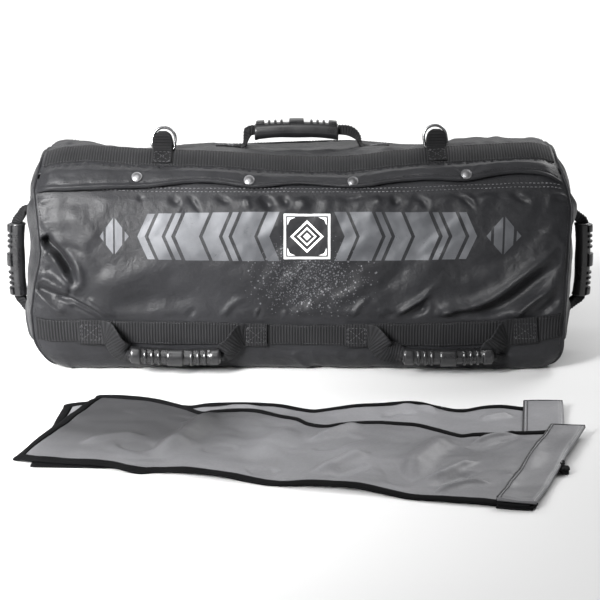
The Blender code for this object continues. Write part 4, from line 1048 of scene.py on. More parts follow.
# ============================================================== webbing on the bag
def laid_band(name, x0, x1, s0, s1, sign, off, thick, rib=RIB, amp=0.00062, wob=0.0013, seed=1, mat=WEBBING, step=None,
              curl=None):
    """Webbing sewn flat on the bag, its ribs across its width, as one closed strip."""
    step = step or rib / 4
    n = int((x1 - x0) / step)
    xs = np.linspace(x0, x1, n)
    s0, s1 = (q(xs) if callable(q) else np.full(n, q) for q in (s0, s1))
    mid, half = (s0 + s1) / 2, (s1 - s0) / 2
    prof = [(-1.0, 0.0), (-1.0, 0.55), (-0.985, 0.85), (-0.955, 1.0), (-0.80, 1.0), (-0.6, 1.0), (-0.3, 1.0), (0.0, 1.0),
            (0.3, 1.0), (0.6, 1.0), (0.80, 1.0), (0.955, 1.0), (0.985, 0.85), (1.0, 0.55), (1.0, 0.0), (0.0, -0.15)]
    prof = np.array(prof)
    X = np.repeat(xs[:, None], len(prof), 1)
    edge_lo = wob * noise2(xs / 0.035 + seed, 1.3, seed) + 0.3 * wob * noise2(xs / 0.009 + seed, 2.3, seed)
    edge_hi = wob * noise2(xs / 0.035 + seed, 5.3, seed + 1) + 0.3 * wob * noise2(xs / 0.009 + seed, 6.3, seed)
    c = (mid + (edge_lo + edge_hi) / 2)[:, None]
    h = (half + (edge_hi - edge_lo) / 2)[:, None]
    S = c + h * prof[None, :, 0]
    body = np.clip((prof[:, 1] - 0.8) * 5, 0, 1)[None] * smooth(1.0, 0.93, np.abs(prof[:, 0]))[None]
    slow = 0.0003 * noise2(xs / 0.05 + seed, 0.5, seed + 9)[:, None]
    ribs = amp * np.cos(2 * PI * (xs / rib))[:, None] * body
    off_ = off + thick * prof[None, :, 1] + (ribs + slow) * (prof[None, :, 1] > 0.3)
    if curl is not None:
        off_ = off_ + curl(X, S)
    sgn = 1.0 if sign > 0 else -1.0
    p = skin(X, sgn * S, off_)
    # closed ends
    uv = np.stack([X, S], -1)
    return tube(name, p, mat, uv)


bands = {
    "top_front_band": (TOP_BAND_S, 1), "top_rear_band": (TOP_BAND_S, -1),
    "lower_front_band": (LOW_BAND_S, 1), "lower_rear_band": (LOW_BAND_S, -1),
}
stitch_lines, box_stitches = [], []
dark_lines = list(seam_lines)
LOW_UP_PX = ((30, 319.5), (60, 319.6), (110, 320.2), (200, 322), (260, 323.6), (300, 325), (340, 324.6), (375, 323.4), (440, 322.6), (490, 320.6), (515, 318.4), (562, 314.4))
LOW_DOWN_PX = ((30, 340.6), (60, 341.4), (110, 343), (200, 344.4), (280, 344.2), (345, 344.8), (375, 345.6), (440, 345.8), (490, 344.4), (515, 342.4), (562, 337.6))


def row_through(px_rows):
    """The girth position of a line on the front, given where it shows."""
    at_ = np.array([on_front(a, b) for a, b in px_rows])
    return lambda x: np.interp(x, at_[:, 0], at_[:, 1])


low_up, low_down = row_through(LOW_UP_PX), row_through(LOW_DOWN_PX)
BAND_END = BAND_HALF + 0.0052
for q, (name, (s0, sign)) in enumerate(bands.items()):
    lo, hi = (low_up, low_down) if s0 == LOW_BAND_S else (lambda x: s0 + 0 * x, lambda x: s0 + WEB_WIDE + 0 * x)
    ob = laid_band("web_" + name, -BAND_END, BAND_END, lo, hi, sign, 0.0, 0.0022, seed=3 + q)
    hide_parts(name)
    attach(ob, "bag")
    xs = np.linspace(-BAND_HALF + 0.004, BAND_HALF - 0.004, 500)
    for k in (0.0022, WEB_WIDE - 0.0022):
        ss = sign * (lo(xs) + k if k < 0.01 else hi(xs) - 0.0022) + 0.0003 * noise2(xs / 0.03, k * 100, 4)
        dark_lines.append((skin(xs, ss, 0.0023), skin_n(xs, ss)))

# double row under the flap on the front, and a single row on the rear
xs = np.linspace(-0.349, 0.349, 700)
for s in (0.1325, 0.1375):
    ss = s + 0.0006 * noise2(xs / 0.03, s * 50, 14)
    stitch_lines.append((skin(xs, ss, 0.0002), skin_n(xs, ss)))
for s in (-0.1015,):
    ss = s + 0.0004 * noise2(xs / 0.03, s * 50, 14)
    stitch_lines.append((skin(xs, ss, 0.0002), skin_n(xs, ss)))

# ============================================================== closing flap
EDGE_PX = [(24, 191), (35, 191), (55, 190.4), (80, 189.6), (100, 188.8), (125, 187.6), (150, 186.8), (165, 184.8), (185, 182.2), (205, 181.4), (225, 183),
           (246, 187), (262, 187.6), (282, 184.4), (300, 183.4), (325, 185), (345, 187.2), (365, 186.6), (389, 182), (417, 179.4), (440, 179),
           (460, 180.6), (474, 179.4), (497, 173.6), (527, 171.8), (549, 175.5), (565, 184), (575, 190)]


def flap_edge():
    """The hem's girth position along the bag, read back through the uneven top."""
    ex, es = [], []
    for a, b in EDGE_PX:
        best = None
        for s in np.linspace(0.096, 0.156, 121):
            x = 0.0
            for _ in range(3):
                p = warp(plain(x, s, 0.006))
                u, v = pixel(p)
                x = x + (a - u) / 738.0
            if best is None or abs(v - b) < best[0]:
                best = (abs(v - b), x, s)
        ex.append(best[1])
        es.append(best[2])
    return np.array(ex), np.array(es)


FEX, FES = flap_edge()


def flap_sheet():
    x = np.linspace(-0.3535, 0.3535, 355)
    hem = np.interp(x, FEX, FES)
    hem = np.convolve(np.pad(hem, 8, mode="edge"), np.ones(17) / 17, "valid")
    hem = np.clip(hem, 0.1190, 0.1440)
    snap = np.zeros_like(x)
    for sx in SNAP_X:
        snap = np.maximum(snap, np.exp(-((x - sx) / 0.022) ** 2))
    puff = 0.0019 * (1 - snap) * (0.75 + 0.5 * noise2(x / 0.06, 3.3, 31)) * smooth(0.350, 0.30, np.abs(x))
    m = 26
    v = np.linspace(0, 1, m)
    rows_top, rows_low = [], []
    X, V = np.meshgrid(x, v, indexing="ij")
    S = 0.0970 + (hem[:, None] - 0.0970) * V
    base = 0.0012 + (FLAP_LIFT + FLAP_THICK - 0.0012) * smooth(0.03, 0.45, V)
    top = base + puff[:, None] * smooth(0.15, 0.65, V) * (1 - 0.55 * smooth(0.72, 1.0, V))
    top += 0.0008 * fbm(X / 0.030, S / 0.016, 51, 3) * smooth(0.1, 0.4, V) * (1 - 0.7 * snap[:, None])
    # puckers along the seam
    top += 0.0017 * (noise2(X / 0.0060, 0.5 + V * 1.5, 57) + 0.4) * smooth(0.02, 0.08, V) * np.exp(-((V - 0.10) / 0.13) ** 2)
    top -= 0.0036 * smooth(0.05, 0.50, noise2(X / 0.0056, 0.7, 58)) * np.exp(-((V - 0.11) / 0.065) ** 2)
    # small tucks run into each press stud
    for sx in SNAP_X:
        for lean, amp in ((-1.0, 0.0012), (1.0, 0.0010), (0.25, -0.0007)):
            d = (X - sx) - lean * (S - SNAP_S) * 1.3
            top += amp * np.exp(-(d / 0.0028) ** 2) * np.exp(-((X - sx) / 0.020) ** 2) * smooth(0.004, 0.010, np.abs(X - sx))
    # the rolled hem: a groove, then a bead along the edge
    bead = np.exp(-((V - 0.955) / 0.050) ** 2)
    groove = np.exp(-((V - 0.845) / 0.040) ** 2)
    top += 0.0011 * bead - 0.0009 * groove
    top -= 0.0022 * smooth(0.965, 1.0, V)
    thick = 0.0013 + 0.0016 * bead
    top = np.maximum(top, 0.0012)
    low = np.maximum(top - thick, 0.0002 + 0.0003 * smooth(0, 0.2, V))
    low[:, 0] = top[:, 0] - 0.0008
    Sl = S.copy()
    ring_off = np.concatenate([top, low[:, ::-1]], 1)
    ring_s = np.concatenate([S, Sl[:, ::-1]], 1)
    nose = hem[:, None] + 0.0011
    ring_off = np.concatenate([top, (top[:, -1:] * 0.55 + low[:, -1:] * 0.45), low[:, ::-1]], 1)
    ring_s = np.concatenate([S, nose, Sl[:, ::-1]], 1)
    ring_x = np.repeat(x[:, None], ring_s.shape[1], 1)
    # both ends close down to the cloth
    shut = smooth(0, 0.016, 0.3545 - np.abs(ring_x))
    ring_off = ring_off * (0.16 + 0.84 * shut)
    # read from the undisturbed surface, so that puckers below don't print through
    p = warp(plain(ring_x, ring_s, ring_off))
    uv = np.stack([ring_x, ring_s], -1)
    return p, uv, x, hem, top


FP, FUV, FX, FHEM, FTOP = flap_sheet()
flap = tube("closing_flap", FP, NYLON, FUV)
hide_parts("closure_flap")
flap_n = FP.shape[1] // 2


def flap_line(v, lift=0.0001, x0=-0.350, x1=0.350):
    """Points and normals on the flap's face at share v of its width."""
    j = int(round(v * 25))
    p = FP[:, j]
    a = np.cross(np.gradient(FP[:, :26], axis=1)[:, j], np.gradient(FP[:, :26], axis=0)[:, j])
    a /= np.linalg.norm(a, axis=1)[:, None]
    a *= np.sign((a[:, 2:] - a[:, 1:2]))
    keep = (FX > x0) & (FX < x1)
    return p[keep] + a[keep] * lift, a[keep]


flap_thread = stitches("flap_hem_thread", [flap_line(0.80)], THREAD_DARK, pitch=0.0042, length=0.0030, r=0.00035)
top_thread = stitches("flap_top_thread", [flap_line(0.12)], THREAD_DARK, pitch=0.0042, length=0.0030, r=0.00038)
for ob in (flap, flap_thread, top_thread):
    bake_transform(ob)


# ============================================================== turned and swept metal
def frame_at(origin, normal, along=(1, 0, 0)):
    z = np.asarray(normal, float)
    z = z / np.linalg.norm(z)
    x = np.asarray(along, float)
    x = x - z * (x @ z)
    x /= np.linalg.norm(x)
    y = np.cross(z, x)
    return np.asarray(origin, float), x, y, z


def turned(name, outline, frame_, mat, n=40, crisp=35):
    """A solid of revolution: outline of (radius, height) from the top centre to the bottom centre."""
    o, x, y, z = frame_
    ang = np.arange(n) * 2 * PI / n
    outline = np.asarray(outline, float)
    rings = []
    for r, h in outline[1:-1]:
        rings.append(o + z * h + r * (np.cos(ang)[:, None] * x + np.sin(ang)[:, None] * y))
    rings = np.array(rings)
    k = len(rings)
    verts = np.vstack([rings.reshape(-1, 3), [o + z * outline[0][1]], [o + z * outline[-1][1]]])
    faces = [tuple(f) for f in grid_faces(k, n, False, True)]
    faces += [(k * n, j, (j + 1) % n) for j in range(n)]
    faces += [(k * n + 1, (k - 1) * n + (j + 1) % n, (k - 1) * n + j) for j in range(n)]
    return sharpen(make(name, verts, faces, mat, fix_normals=True), crisp)


def round_path(name, pts, radius, mat, closed=False, n=12, spacing=0.0012):
    pts = np.asarray(pts, float)
    if closed:
        ext = np.vstack([pts, pts[:1]])
        run = np.concatenate([[0], np.cumsum(np.linalg.norm(np.diff(ext, axis=0), axis=1))])
        at = np.linspace(0, run[-1], int(run[-1] / spacing))[:-1]
        c = np.stack([np.interp(at, run, ext[:, k]) for k in range(3)], 1)
        for _ in range(2):
            c = (np.roll(c, 1, 0) + 2 * c + np.roll(c, -1, 0)) / 4
        t = np.roll(c, -1, 0) - np.roll(c, 1, 0)
    else:
        c, _, _ = curve_through(pts, spacing)
        t = np.gradient(c, axis=0)
    t /= np.linalg.norm(t, axis=1)[:, None]
    ref = np.array([0.0, 1.0, 0.0])
    a = np.cross(t, ref)
    bad = np.linalg.norm(a, axis=1) < 0.2
    a[bad] = np.cross(t[bad], [0.0, 0.0, 1.0])
    a /= np.linalg.norm(a, axis=1)[:, None]
    b = np.cross(t, a)
    ang = np.arange(n) * 2 * PI / n
    rings = c[:, None] + radius * (np.cos(ang)[None, :, None] * a[:, None] + np.sin(ang)[None, :, None] * b[:, None])
    if closed:
        return make(name, rings, grid_faces(len(c), n, True, True), mat, fix_normals=True)
    return tube(name, rings, mat)


# press studs: cap on the flap, post on the bag
for i, x in enumerate(SNAP_X, 1):
    y, z, ny_, nz_ = section(SNAP_S)
    at = warp(plain(x, SNAP_S, FLAP_LIFT + FLAP_THICK + 0.0004))
    f = frame_at(at, (0.10 * math.sin(3.1 * i), float(ny_), float(nz_) + 0.05))
    r = 0.0076
    cap = turned("press_cap_%d" % i, [(0, 0.00225), (r * 0.20, 0.00220), (r * 0.42, 0.00202), (r * 0.60, 0.00172), (r * 0.70, 0.00140),
                                      (r * 0.76, 0.00112), (r * 0.82, 0.00116), (r * 0.90, 0.00132), (r * 0.97, 0.00095),
                                      (r, 0.0002), (r * 0.985, -0.0006), (r * 0.9, -0.0008), (0, -0.0008)], f, SNAP, 44, 60)
    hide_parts("snap_cap_%d" % i)
    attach(cap, "flap")
    f = frame_at(skin(x, SNAP_S, 0.0002), (0, float(ny_), float(nz_)))
    stud = turned("press_post_%d" % i, [(0, 0.0036), (0.0018, 0.0036), (0.0024, 0.0032), (0.0025, 0.0026), (0.0021, 0.0019), (0.0021, 0.0013),
                                        (0.0034, 0.0011), (0.0047, 0.0009), (0.0050, 0.0004), (0.0050, -0.0002), (0, -0.0002)], f, SNAP, 32, 40)
    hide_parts("snap_stud_%d" % i)
    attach(stud, "bag")


# ============================================================== free webbing
def swept_web(name, ctrl, mat=STRAP, spacing=0.0010, rib=RIB, amp=0.00048, m=9, core=0.0030, uv_from=0.0):
    """Webbing along control stations of (point, width direction, outer direction, width, thickness, fold angle).
    The fold turns the two halves towards each other, away from the outer direction."""
    rows = np.array([[*p, *np.asarray(w, float) / np.linalg.norm(w), *np.asarray(o, float) / np.linalg.norm(o), wide, th, fold]
                     for p, w, o, wide, th, fold in ctrl])
    c, par, run = curve_through(rows, spacing)
    p, wdir, odir = c[:, :3], c[:, 3:6], c[:, 6:9]
    wide, th, fold = c[:, 9], np.abs(c[:, 10]), np.clip(c[:, 11], 0, PI * 1.02)
    t = np.gradient(p, axis=0)
    t /= np.linalg.norm(t, axis=1)[:, None]
    o = odir - t * (odir * t).sum(1)[:, None]
    o /= np.linalg.norm(o, axis=1)[:, None]
    w = np.cross(t, o)
    w *= np.sign((w * wdir).sum(1))[:, None]
    u = np.linspace(-1, 1, 2 * m + 1)
    rings = []
    for i in range(len(p)):
        W, f = wide[i], fold[i]
        bend = min(max(f * core, 1e-5), W * 0.98)
        s = u * W / 2
        theta = np.clip(s / bend, -0.5, 0.5) * f
        ds = np.diff(s)
        mid = (theta[1:] + theta[:-1]) / 2
        a = np.concatenate([[0], np.cumsum(np.cos(mid) * ds)])
        b = np.concatenate([[0], np.cumsum(-np.sin(mid) * ds)])
        a -= a[m]
        b -= b[m]
        b += -b.min() * 0.5 * (f / PI)
        na, nb = np.sin(theta), np.cos(theta)
        rb = amp * math.cos(2 * PI * run[i] / rib)
        edge = smooth(1.0, 0.9, np.abs(u))
        h = th[i] / 2
        up = np.stack([a + na * (h + rb * edge), b + nb * (h + rb * edge)], 1)
        dn = np.stack([a - na * (h + rb * edge), b - nb * (h + rb * edge)], 1)
        e1 = np.array([a[-1] + math.cos(theta[-1]) * h * 0.8, b[-1] - math.sin(theta[-1]) * h * 0.8])
        e0 = np.array([a[0] - math.cos(theta[0]) * h * 0.8, b[0] + math.sin(theta[0]) * h * 0.8])
        ring = np.vstack([up, e1[None], dn[::-1], e0[None]])
        rings.append(p[i] + ring[:, :1] * w[i] + ring[:, 1:] * o[i])
    rings = np.array(rings)
    k = rings.shape[1]
    uv = np.stack(np.meshgrid(run + uv_from, np.linspace(0, 0.08, k), indexing="ij"), -1)
    return tube(name, rings, mat, uv)


def box_lines(x0, x1, s0, s1, off, sign=1, cross=True):
    """A boxed cross of stitching on the bag."""
    out = []
    def line(a, b):
        n = 24
        xs_ = np.linspace(a[0], b[0], n)
        ss_ = np.linspace(a[1], b[1], n) * sign
        out.append((skin(xs_, ss_, off), skin_n(xs_, ss_)))
    line((x0, s0), (x1, s0))
    line((x0, s1), (x1, s1))
    line((x0, s0), (x0, s1))
    line((x1, s0), (x1, s1))
    if cross:
        line((x0, s0), (x1, s1))
        line((x0, s1), (x1, s0))
    return out


# ============================================================== ring tabs and rings
for q, (x, side) in enumerate(zip(RING_X, ("left", "right"))):
    lift = lift_at(x) * 0.9
    inner = TAB_DEPTH / 2 - WEB / 2
    top = RING_Z + TAB_TOP + 0.0036 - WEB / 2 + lift
    zc = top - 0.0128
    ctrl = []

    def width_at(z):
        k = max(z - zc, 0.0)
        return max(2 * math.sqrt(max(0.0134 ** 2 - k * k, 0.0)), 0.0110) if k > 0 else TAB_WIDE + 0.0016

    for s in (0.0945, 0.088, 0.082, 0.076, 0.0725):
        p, n = skin(x, s, 0.0026 + WEB / 2 + 0.0004), skin_n(x, s)
        ctrl.append((p, (1, 0, 0), n, TAB_WIDE, WEB, 0.0))
    ctrl.append(((x, RING_Y - inner - 0.0006, RING_Z + lift - 0.0005), (1, 0, 0), (0, -1, 0.25), TAB_WIDE, WEB, 0.0))
    for z in (RING_Z + lift + 0.004, RING_Z + lift + 0.008):
        ctrl.append(((x, RING_Y - inner, z), (1, 0, 0), (0, -1, 0.1), width_at(z), WEB, 0.0))
    for k in range(0, 7):
        a = PI * k / 6
        z = top - inner + inner * math.sin(a) * 1.0
        ctrl.append(((x, RING_Y - inner * math.cos(a), z), (1, 0, 0), (0, -math.cos(a), max(math.sin(a), 0.02)), width_at(z), WEB, 0.0))
    for z in (RING_Z + lift + 0.008, RING_Z + lift + 0.004):
        ctrl.append(((x, RING_Y + inner, z), (1, 0, 0), (0, 1, 0.1), width_at(z), WEB, 0.0))
    ctrl.append(((x, RING_Y + inner + 0.0020, RING_Z + lift + 0.0002), (1, 0, 0), (0, 0.8, 0.6), TAB_WIDE, WEB, 0.0))
    for dy in (0.010, 0.016, 0.024):
        s = -(RING_Y + inner + dy)
        p = skin(x, s, WEB / 2 + 0.0012)
        ctrl.append((p, (1, 0, 0), skin_n(x, s), TAB_WIDE, WEB, 0.0))
    tab = swept_web("tab_" + side, ctrl, spacing=0.0007, amp=0.00022)
    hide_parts("ring_tab_" + side)
    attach(tab, "bag")
    stitch_off = 0.0026 + WEB + 0.0007
    box_stitches += box_lines(x - 0.0108, x + 0.0108, 0.0740, 0.0932, stitch_off)

    leg = RING_LEG - 0.0036
    pts = [(-RING_HALF, 0.0), (-RING_HALF, leg * 0.5)]
    for k in range(0, 25):
        a = PI * (1 - k / 24)
        pts.append((RING_HALF * math.cos(a), leg + RING_HALF * math.sin(a)))
    pts += [(RING_HALF, leg * 0.5), (RING_HALF, 0.0), (RING_HALF - 0.0018, -0.0005), (0.0, -0.0005), (-RING_HALF + 0.0018, -0.0005)]
    turn = math.radians(9.0 if side == "left" else -9.0)
    ct, st_ = math.cos(turn), math.sin(turn)
    ring = round_path("wire_ring_" + side, [(x + a * ct + b * st_, RING_Y + 0.16 * b, RING_Z + b * ct - a * st_ + lift) for a, b in pts], 0.0020, STEEL, closed=True, n=16, spacing=0.0011)
    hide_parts("d_ring_" + side)
    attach(ring, "ring_" + side)


# ============================================================== moulded grips
def grip(name, centre, along, toothed, length, body, bow=(0, 0, 0), r=0.0108, rise=0.0036, node=None, cover=0.66, cut=0.0):
    """A wrap-round moulded grip: a smooth tube, and along it the row of end blocks, ribs and a centre
    block where its two halves close."""
    a = np.asarray(along, float) / np.linalg.norm(along)
    b = np.asarray(toothed, float)
    b = b - a * (b @ a)
    b /= np.linalg.norm(b)
    c = np.cross(a, b)
    L = length
    spans = [(0.012, 0.113, 1.0)]
    for k in range(3):
        lo = 0.155 + k * 0.0745
        spans.append((lo, lo + 0.031, 0.84))
    spans.append((0.412, 0.588, 1.22))
    spans += [(1 - e, 1 - s_, h) for s_, e, h in reversed(spans[:4])]
    us, hs = [0.0], [0.0]
    e = 0.0035
    for lo, hi, h in spans:
        us += [lo - e, lo + e * 0.6, lo + e * 2.2, (lo + hi) / 2, hi - e * 2.2, hi - e * 0.6, hi + e]
        hs += [0.0, h * 0.88, h, h * 1.03, h, h * 0.88, 0.0]
    us, hs = np.array(us + [1.0]), np.array(hs + [0.0])
    u = []
    for q in range(len(us) - 1):
        steps = max(1, int((us[q + 1] - us[q]) / 0.015))
        u += list(np.linspace(us[q], us[q + 1], steps, endpoint=False))
    u = np.array(u + [1.0])
    h = np.interp(u, us, hs)
    gap = smooth(0.06, 0.0, h) * smooth(0.10, 0.13, u) * smooth(0.90, 0.87, u)
    n = 64
    ang = np.arange(n) * 2 * PI / n - PI            # 0 faces the toothed side
    face = smooth(cover + 0.075, cover - 0.045, np.abs(ang))
    crown = 1 - 0.10 * (ang / cover) ** 2
    edge = np.minimum(u, 1 - u)
    R = r + 0.0010 * smooth(0.045, 0.006, edge)[:, None] * smooth(1.6, 2.6, np.abs(ang))[None]
    R = R - 0.0007 * smooth(0.012, 0.0, edge)[:, None]
    R = R + rise * np.outer(h, face * crown) - cut * np.outer(gap, face)
    R = R + 0.0004 * np.cos(4 * PI * (u - 0.5))[:, None] * smooth(1.8, 3.0, np.abs(ang))[None]
    # a parting line along both sides
    for at in (1.75, -1.75):
        R = R - 0.00035 * np.exp(-((ang - at) / 0.05) ** 2)[None]
    cen = np.asarray(centre, float) + np.outer((u - 0.5) * L, a) + np.outer(1 - (2 * u - 1) ** 2 - 0.35, np.asarray(bow, float))
    dirs = np.cos(ang)[:, None] * b + np.sin(ang)[:, None] * c
    outer = cen[:, None] + R[..., None] * dirs[None]
    bore = 0.0079
    inner = cen[:, None] + bore * dirs[None]
    cap0 = cen[:1, None] + (R[:1] - 0.0008)[..., None] * dirs[None] - a * 0.0005
    cap1 = cen[-1:, None] + (R[-1:] - 0.0008)[..., None] * dirs[None] + a * 0.0005
    rings = np.concatenate([inner[::-1], cen[:1, None] + (bore + 0.0006) * dirs[None] - a * 0.0005, cap0, outer, cap1,
                            cen[-1:, None] + (bore + 0.0006) * dirs[None] + a * 0.0005], 0)
    ob = make(name, rings, grid_faces(len(rings), n, True, True), GRIP, fix_normals=True)
    sharpen(ob, 34)
    if node:
        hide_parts(node)
    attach(ob, body)
    return ob


grip("grip_top", (TOP_GRIP_X, 0, TOP_GRIP_Z - 0.0012), (1, 0, 0), (0, 0.05, 1), TOP_GRIP_LEN, "top_handle", (0, 0, 0.0030), 0.0112, 0.0040, "top_handle_grip", 0.60)
for side, (xa, xb, xg) in LOW_HANDLES.items():
    for face, fs in (("front", 1), ("rear", -1)):
        gy = -fs * (LOW_AXIS_Y + LOW_GRIP_OUT)
        tip = -0.022 if side == "left" else 0.010
        grip("grip_%s_%s" % (face, side), (xg, gy, LOW_GRIP_Z + 0.0010), (1, 0, tip), (0, -fs, 0.02 if side == "left" else -0.12), LOW_GRIP_LEN,
             "%s_%s_handle" % (face, side), (0, 0, -0.0026), 0.0110, 0.0026, "%s_%s_handle_grip" % (face, side), 0.98, 0.0012)
for side, sign in (("left", -1), ("right", 1)):
    grip("grip_end_" + side, (END_GRIP_X[side], 0, END_GRIP_Z), (0, 0, 1), (sign, -0.30, 0), END_GRIP_LEN,
         "%s_end_handle" % side, (sign * 0.0018, 0, 0), 0.0110, 0.0032, "%s_end_handle_grip" % side, 0.72)

# ============================================================== handle straps
def both(fs, p):
    return (p[0], fs * p[1], p[2])


# lower handles: from the boxed tack the webbing stands off the bag, folds in half and enters the grip
for face, fs in (("front", -1), ("rear", 1)):
    for side, (xa, xb, xg) in LOW_HANDLES.items():
        stem = "%s_%s" % (face, side)
        h = LOW_GRIP_LEN / 2
        gy = LOW_AXIS_Y + LOW_GRIP_OUT
        for tag, x_base, x_grip, way in (("a", xa, xg - h, 1), ("b", xb, xg + h, -1)):
            L = abs(x_grip - x_base)
            yb = abs(float(plain(0, LOW_BAND_S + 0.012)[1])) + 0.0050
            def mid_s(x):
                return (low_up(x) + low_down(x)) / 2

            zc = float(skin(x_base, -fs * mid_s(x_base))[2])
            wide_ = float(low_down(x_base) - low_up(x_base)) + 0.0008
            ctrl = []
            # sewn run, over the band
            for k in (-0.0330, -0.022, -0.011, -0.004):
                xx = x_base + way * k
                s = float(mid_s(xx))
                p = skin(xx, -fs * s, 0.0)
                nn = skin_n(xx, -fs * s)
                p = p + nn * 0.0042
                wd = skin(xx, -fs * (s - 0.012)) - skin(xx, -fs * (s + 0.012))
                ctrl.append((p, wd, nn, wide_, 0.0022, 0.0))
            lead = 0.85 if tag == "a" and side == "left" or tag == "b" else 0.45
            drop = zc - LOW_GRIP_Z
            for k, dy, dz, lean, turn_, wide, fold in (
                    (0.0022, 0.0022, 0.00, 0.00, 0.50 * lead, wide_, 0.05),
                    (0.0075, 0.0080, 0.16, 0.22, 1.00 * lead, wide_ + 0.0005, 0.12),
                    (0.0135, 0.0105, 0.46, 0.50, 0.90 * lead, wide_ + 0.0005, 0.22),
                    (0.0205, 0.0095, 0.74, 0.55, 0.45 * lead, wide_ - 0.0005, 0.45),
                    (L - 0.0065, 0.0060, 0.93, 0.22, 0.10, wide_ - 0.0020, 1.10)):
                ctrl.append(((x_base + way * k, fs * (yb + dy), zc - drop * dz), (way * lean, 0.0, 1.0 - 0.3 * lean), (way * -turn_, fs, -0.12), wide, 0.0022, fold))
            ctrl.append(((x_base + way * (L + 0.0060), fs * (gy + 0.0005), LOW_GRIP_Z), (0, 0, 1), (0.0, fs, 0.0), 0.0250, 0.0022, PI))
            ctrl.append(((x_base + way * (L + 0.0140), fs * (gy + 0.0005), LOW_GRIP_Z), (0, 0, 1), (0.0, fs, 0.0), 0.0240, 0.0022, PI))
            ob = swept_web("strap_%s_%s" % (stem, tag), ctrl, WEBBING, core=0.0026)
            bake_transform(ob)
            x0_, x1_ = sorted((x_base - way * 0.0310, x_base - way * 0.0050))
            sm = float(mid_s((x0_ + x1_) / 2))
            box_stitches += box_lines(x0_, x1_, sm - 0.0105, sm + 0.0105, 0.0042 + 0.0013, -fs)
            for xx in (x0_ + 0.0022, x1_ - 0.0022):
                ss = np.linspace(sm - 0.0110, sm + 0.0110, 24) * -fs
                box_stitches.append((skin(np.full(24, xx), ss, 0.0055), skin_n(np.full(24, xx), ss)))
        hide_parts(stem + "_tack_a", stem + "_handle_strap")
        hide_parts(stem + "_tack_b")

# top handle
for tag, x_base, x_grip, way in (("left", TOP_BASE[0], TOP_GRIP_X - TOP_GRIP_LEN / 2, 1), ("right", TOP_BASE[1], TOP_GRIP_X + TOP_GRIP_LEN / 2, -1)):
    L = abs(x_grip - x_base)
    ctrl = []
    for k in (-0.038, -0.026, -0.014, -0.007):
        xx = x_base + way * k
        p, n_ = skin(xx, 0.0, 0.0022), skin_n(xx, 0.0)
        ctrl.append((p, np.cross(n_, (1.0, 0, 0)) * -1, n_, WEB_WIDE - 0.001, 0.0022, 0.0))
    z_top = float(skin(x_base, 0.0)[2])
    ctrl.append(((x_base + way * 0.0000, 0, z_top + 0.0050), (0, 1, 0), (-way * 0.7, 0, 0.7), WEB_WIDE - 0.002, 0.0022, 0.25))
    if tag == "left":
        ctrl.append(((x_base + way * 0.0030, 0, 0.3075), (0, 1, 0), (-way, 0, 0.12), WEB_WIDE - 0.006, 0.0022, 1.1))
        ctrl.append(((x_base + way * 0.0055, 0, 0.3135), (0, 1, 0), (-way * 0.75, 0, 0.65), WEB_WIDE - 0.008, 0.0022, 1.9))
        ctrl.append(((x_base + way * 0.0110, 0, 0.3150), (0, 1, 0), (-way * 0.20, 0, 1.0), WEB_WIDE - 0.010, 0.0022, 2.6))
    else:
        ctrl.append(((x_base + way * 0.0040, 0, 0.3065), (0, 1, 0), (-way, 0, 0.30), WEB_WIDE - 0.006, 0.0022, 0.9))
        ctrl.append(((x_base + way * 0.0110, 0, 0.3130), (0, 1, 0), (-way * 0.6, 0, 0.8), WEB_WIDE - 0.008, 0.0022, 1.7))
        ctrl.append(((x_base + way * 0.0210, 0, 0.3155), (0, 1, 0), (-way * 0.15, 0, 1.0), WEB_WIDE - 0.010, 0.0022, 2.5))
    ctrl.append(((x_grip + way * 0.0040, 0, TOP_GRIP_Z + 0.0002), (0, 1, 0), (0, 0, 1), 0.0250, 0.0022, PI))
    ctrl.append(((x_grip + way * 0.0130, 0, TOP_GRIP_Z + 0.0002), (0, 1, 0), (0, 0, 1), 0.0240, 0.0022, PI))
    ob = swept_web("strap_top_" + tag, ctrl, core=0.0026)
    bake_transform(ob)
    x0_, x1_ = sorted((x_base - way * 0.0350, x_base - way * 0.0110))
    # the boxed cross is sewn on the flat of the tack, which bridges the cloth's small folds
    tack_ = [np.array([c_[j] for c_ in ctrl[:4]], float)[::way] for j in range(3)]
    for ya, yb_ in ((-1, -1), (1, 1), (-1, 1), (1, -1), (0, 0), (2, 2)):
        xs_ = np.linspace(x0_, x1_, 24) if ya in (-1, 1) else np.full(24, x0_ if ya == 0 else x1_)
        ys_ = np.linspace(ya, yb_, 24) * 0.0145 if ya in (-1, 1) else np.linspace(-0.0145, 0.0145, 24)
        at_, across_, out_ = [np.stack([np.interp(xs_, tack_[0][:, 0], q_[:, j]) for j in range(3)], 1) for q_ in tack_]
        stitch_lines.append((at_ + across_ * ys_[:, None] + out_ * 0.0015, out_))
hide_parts("top_tack_left", "top_handle_strap")
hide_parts("top_tack_right")

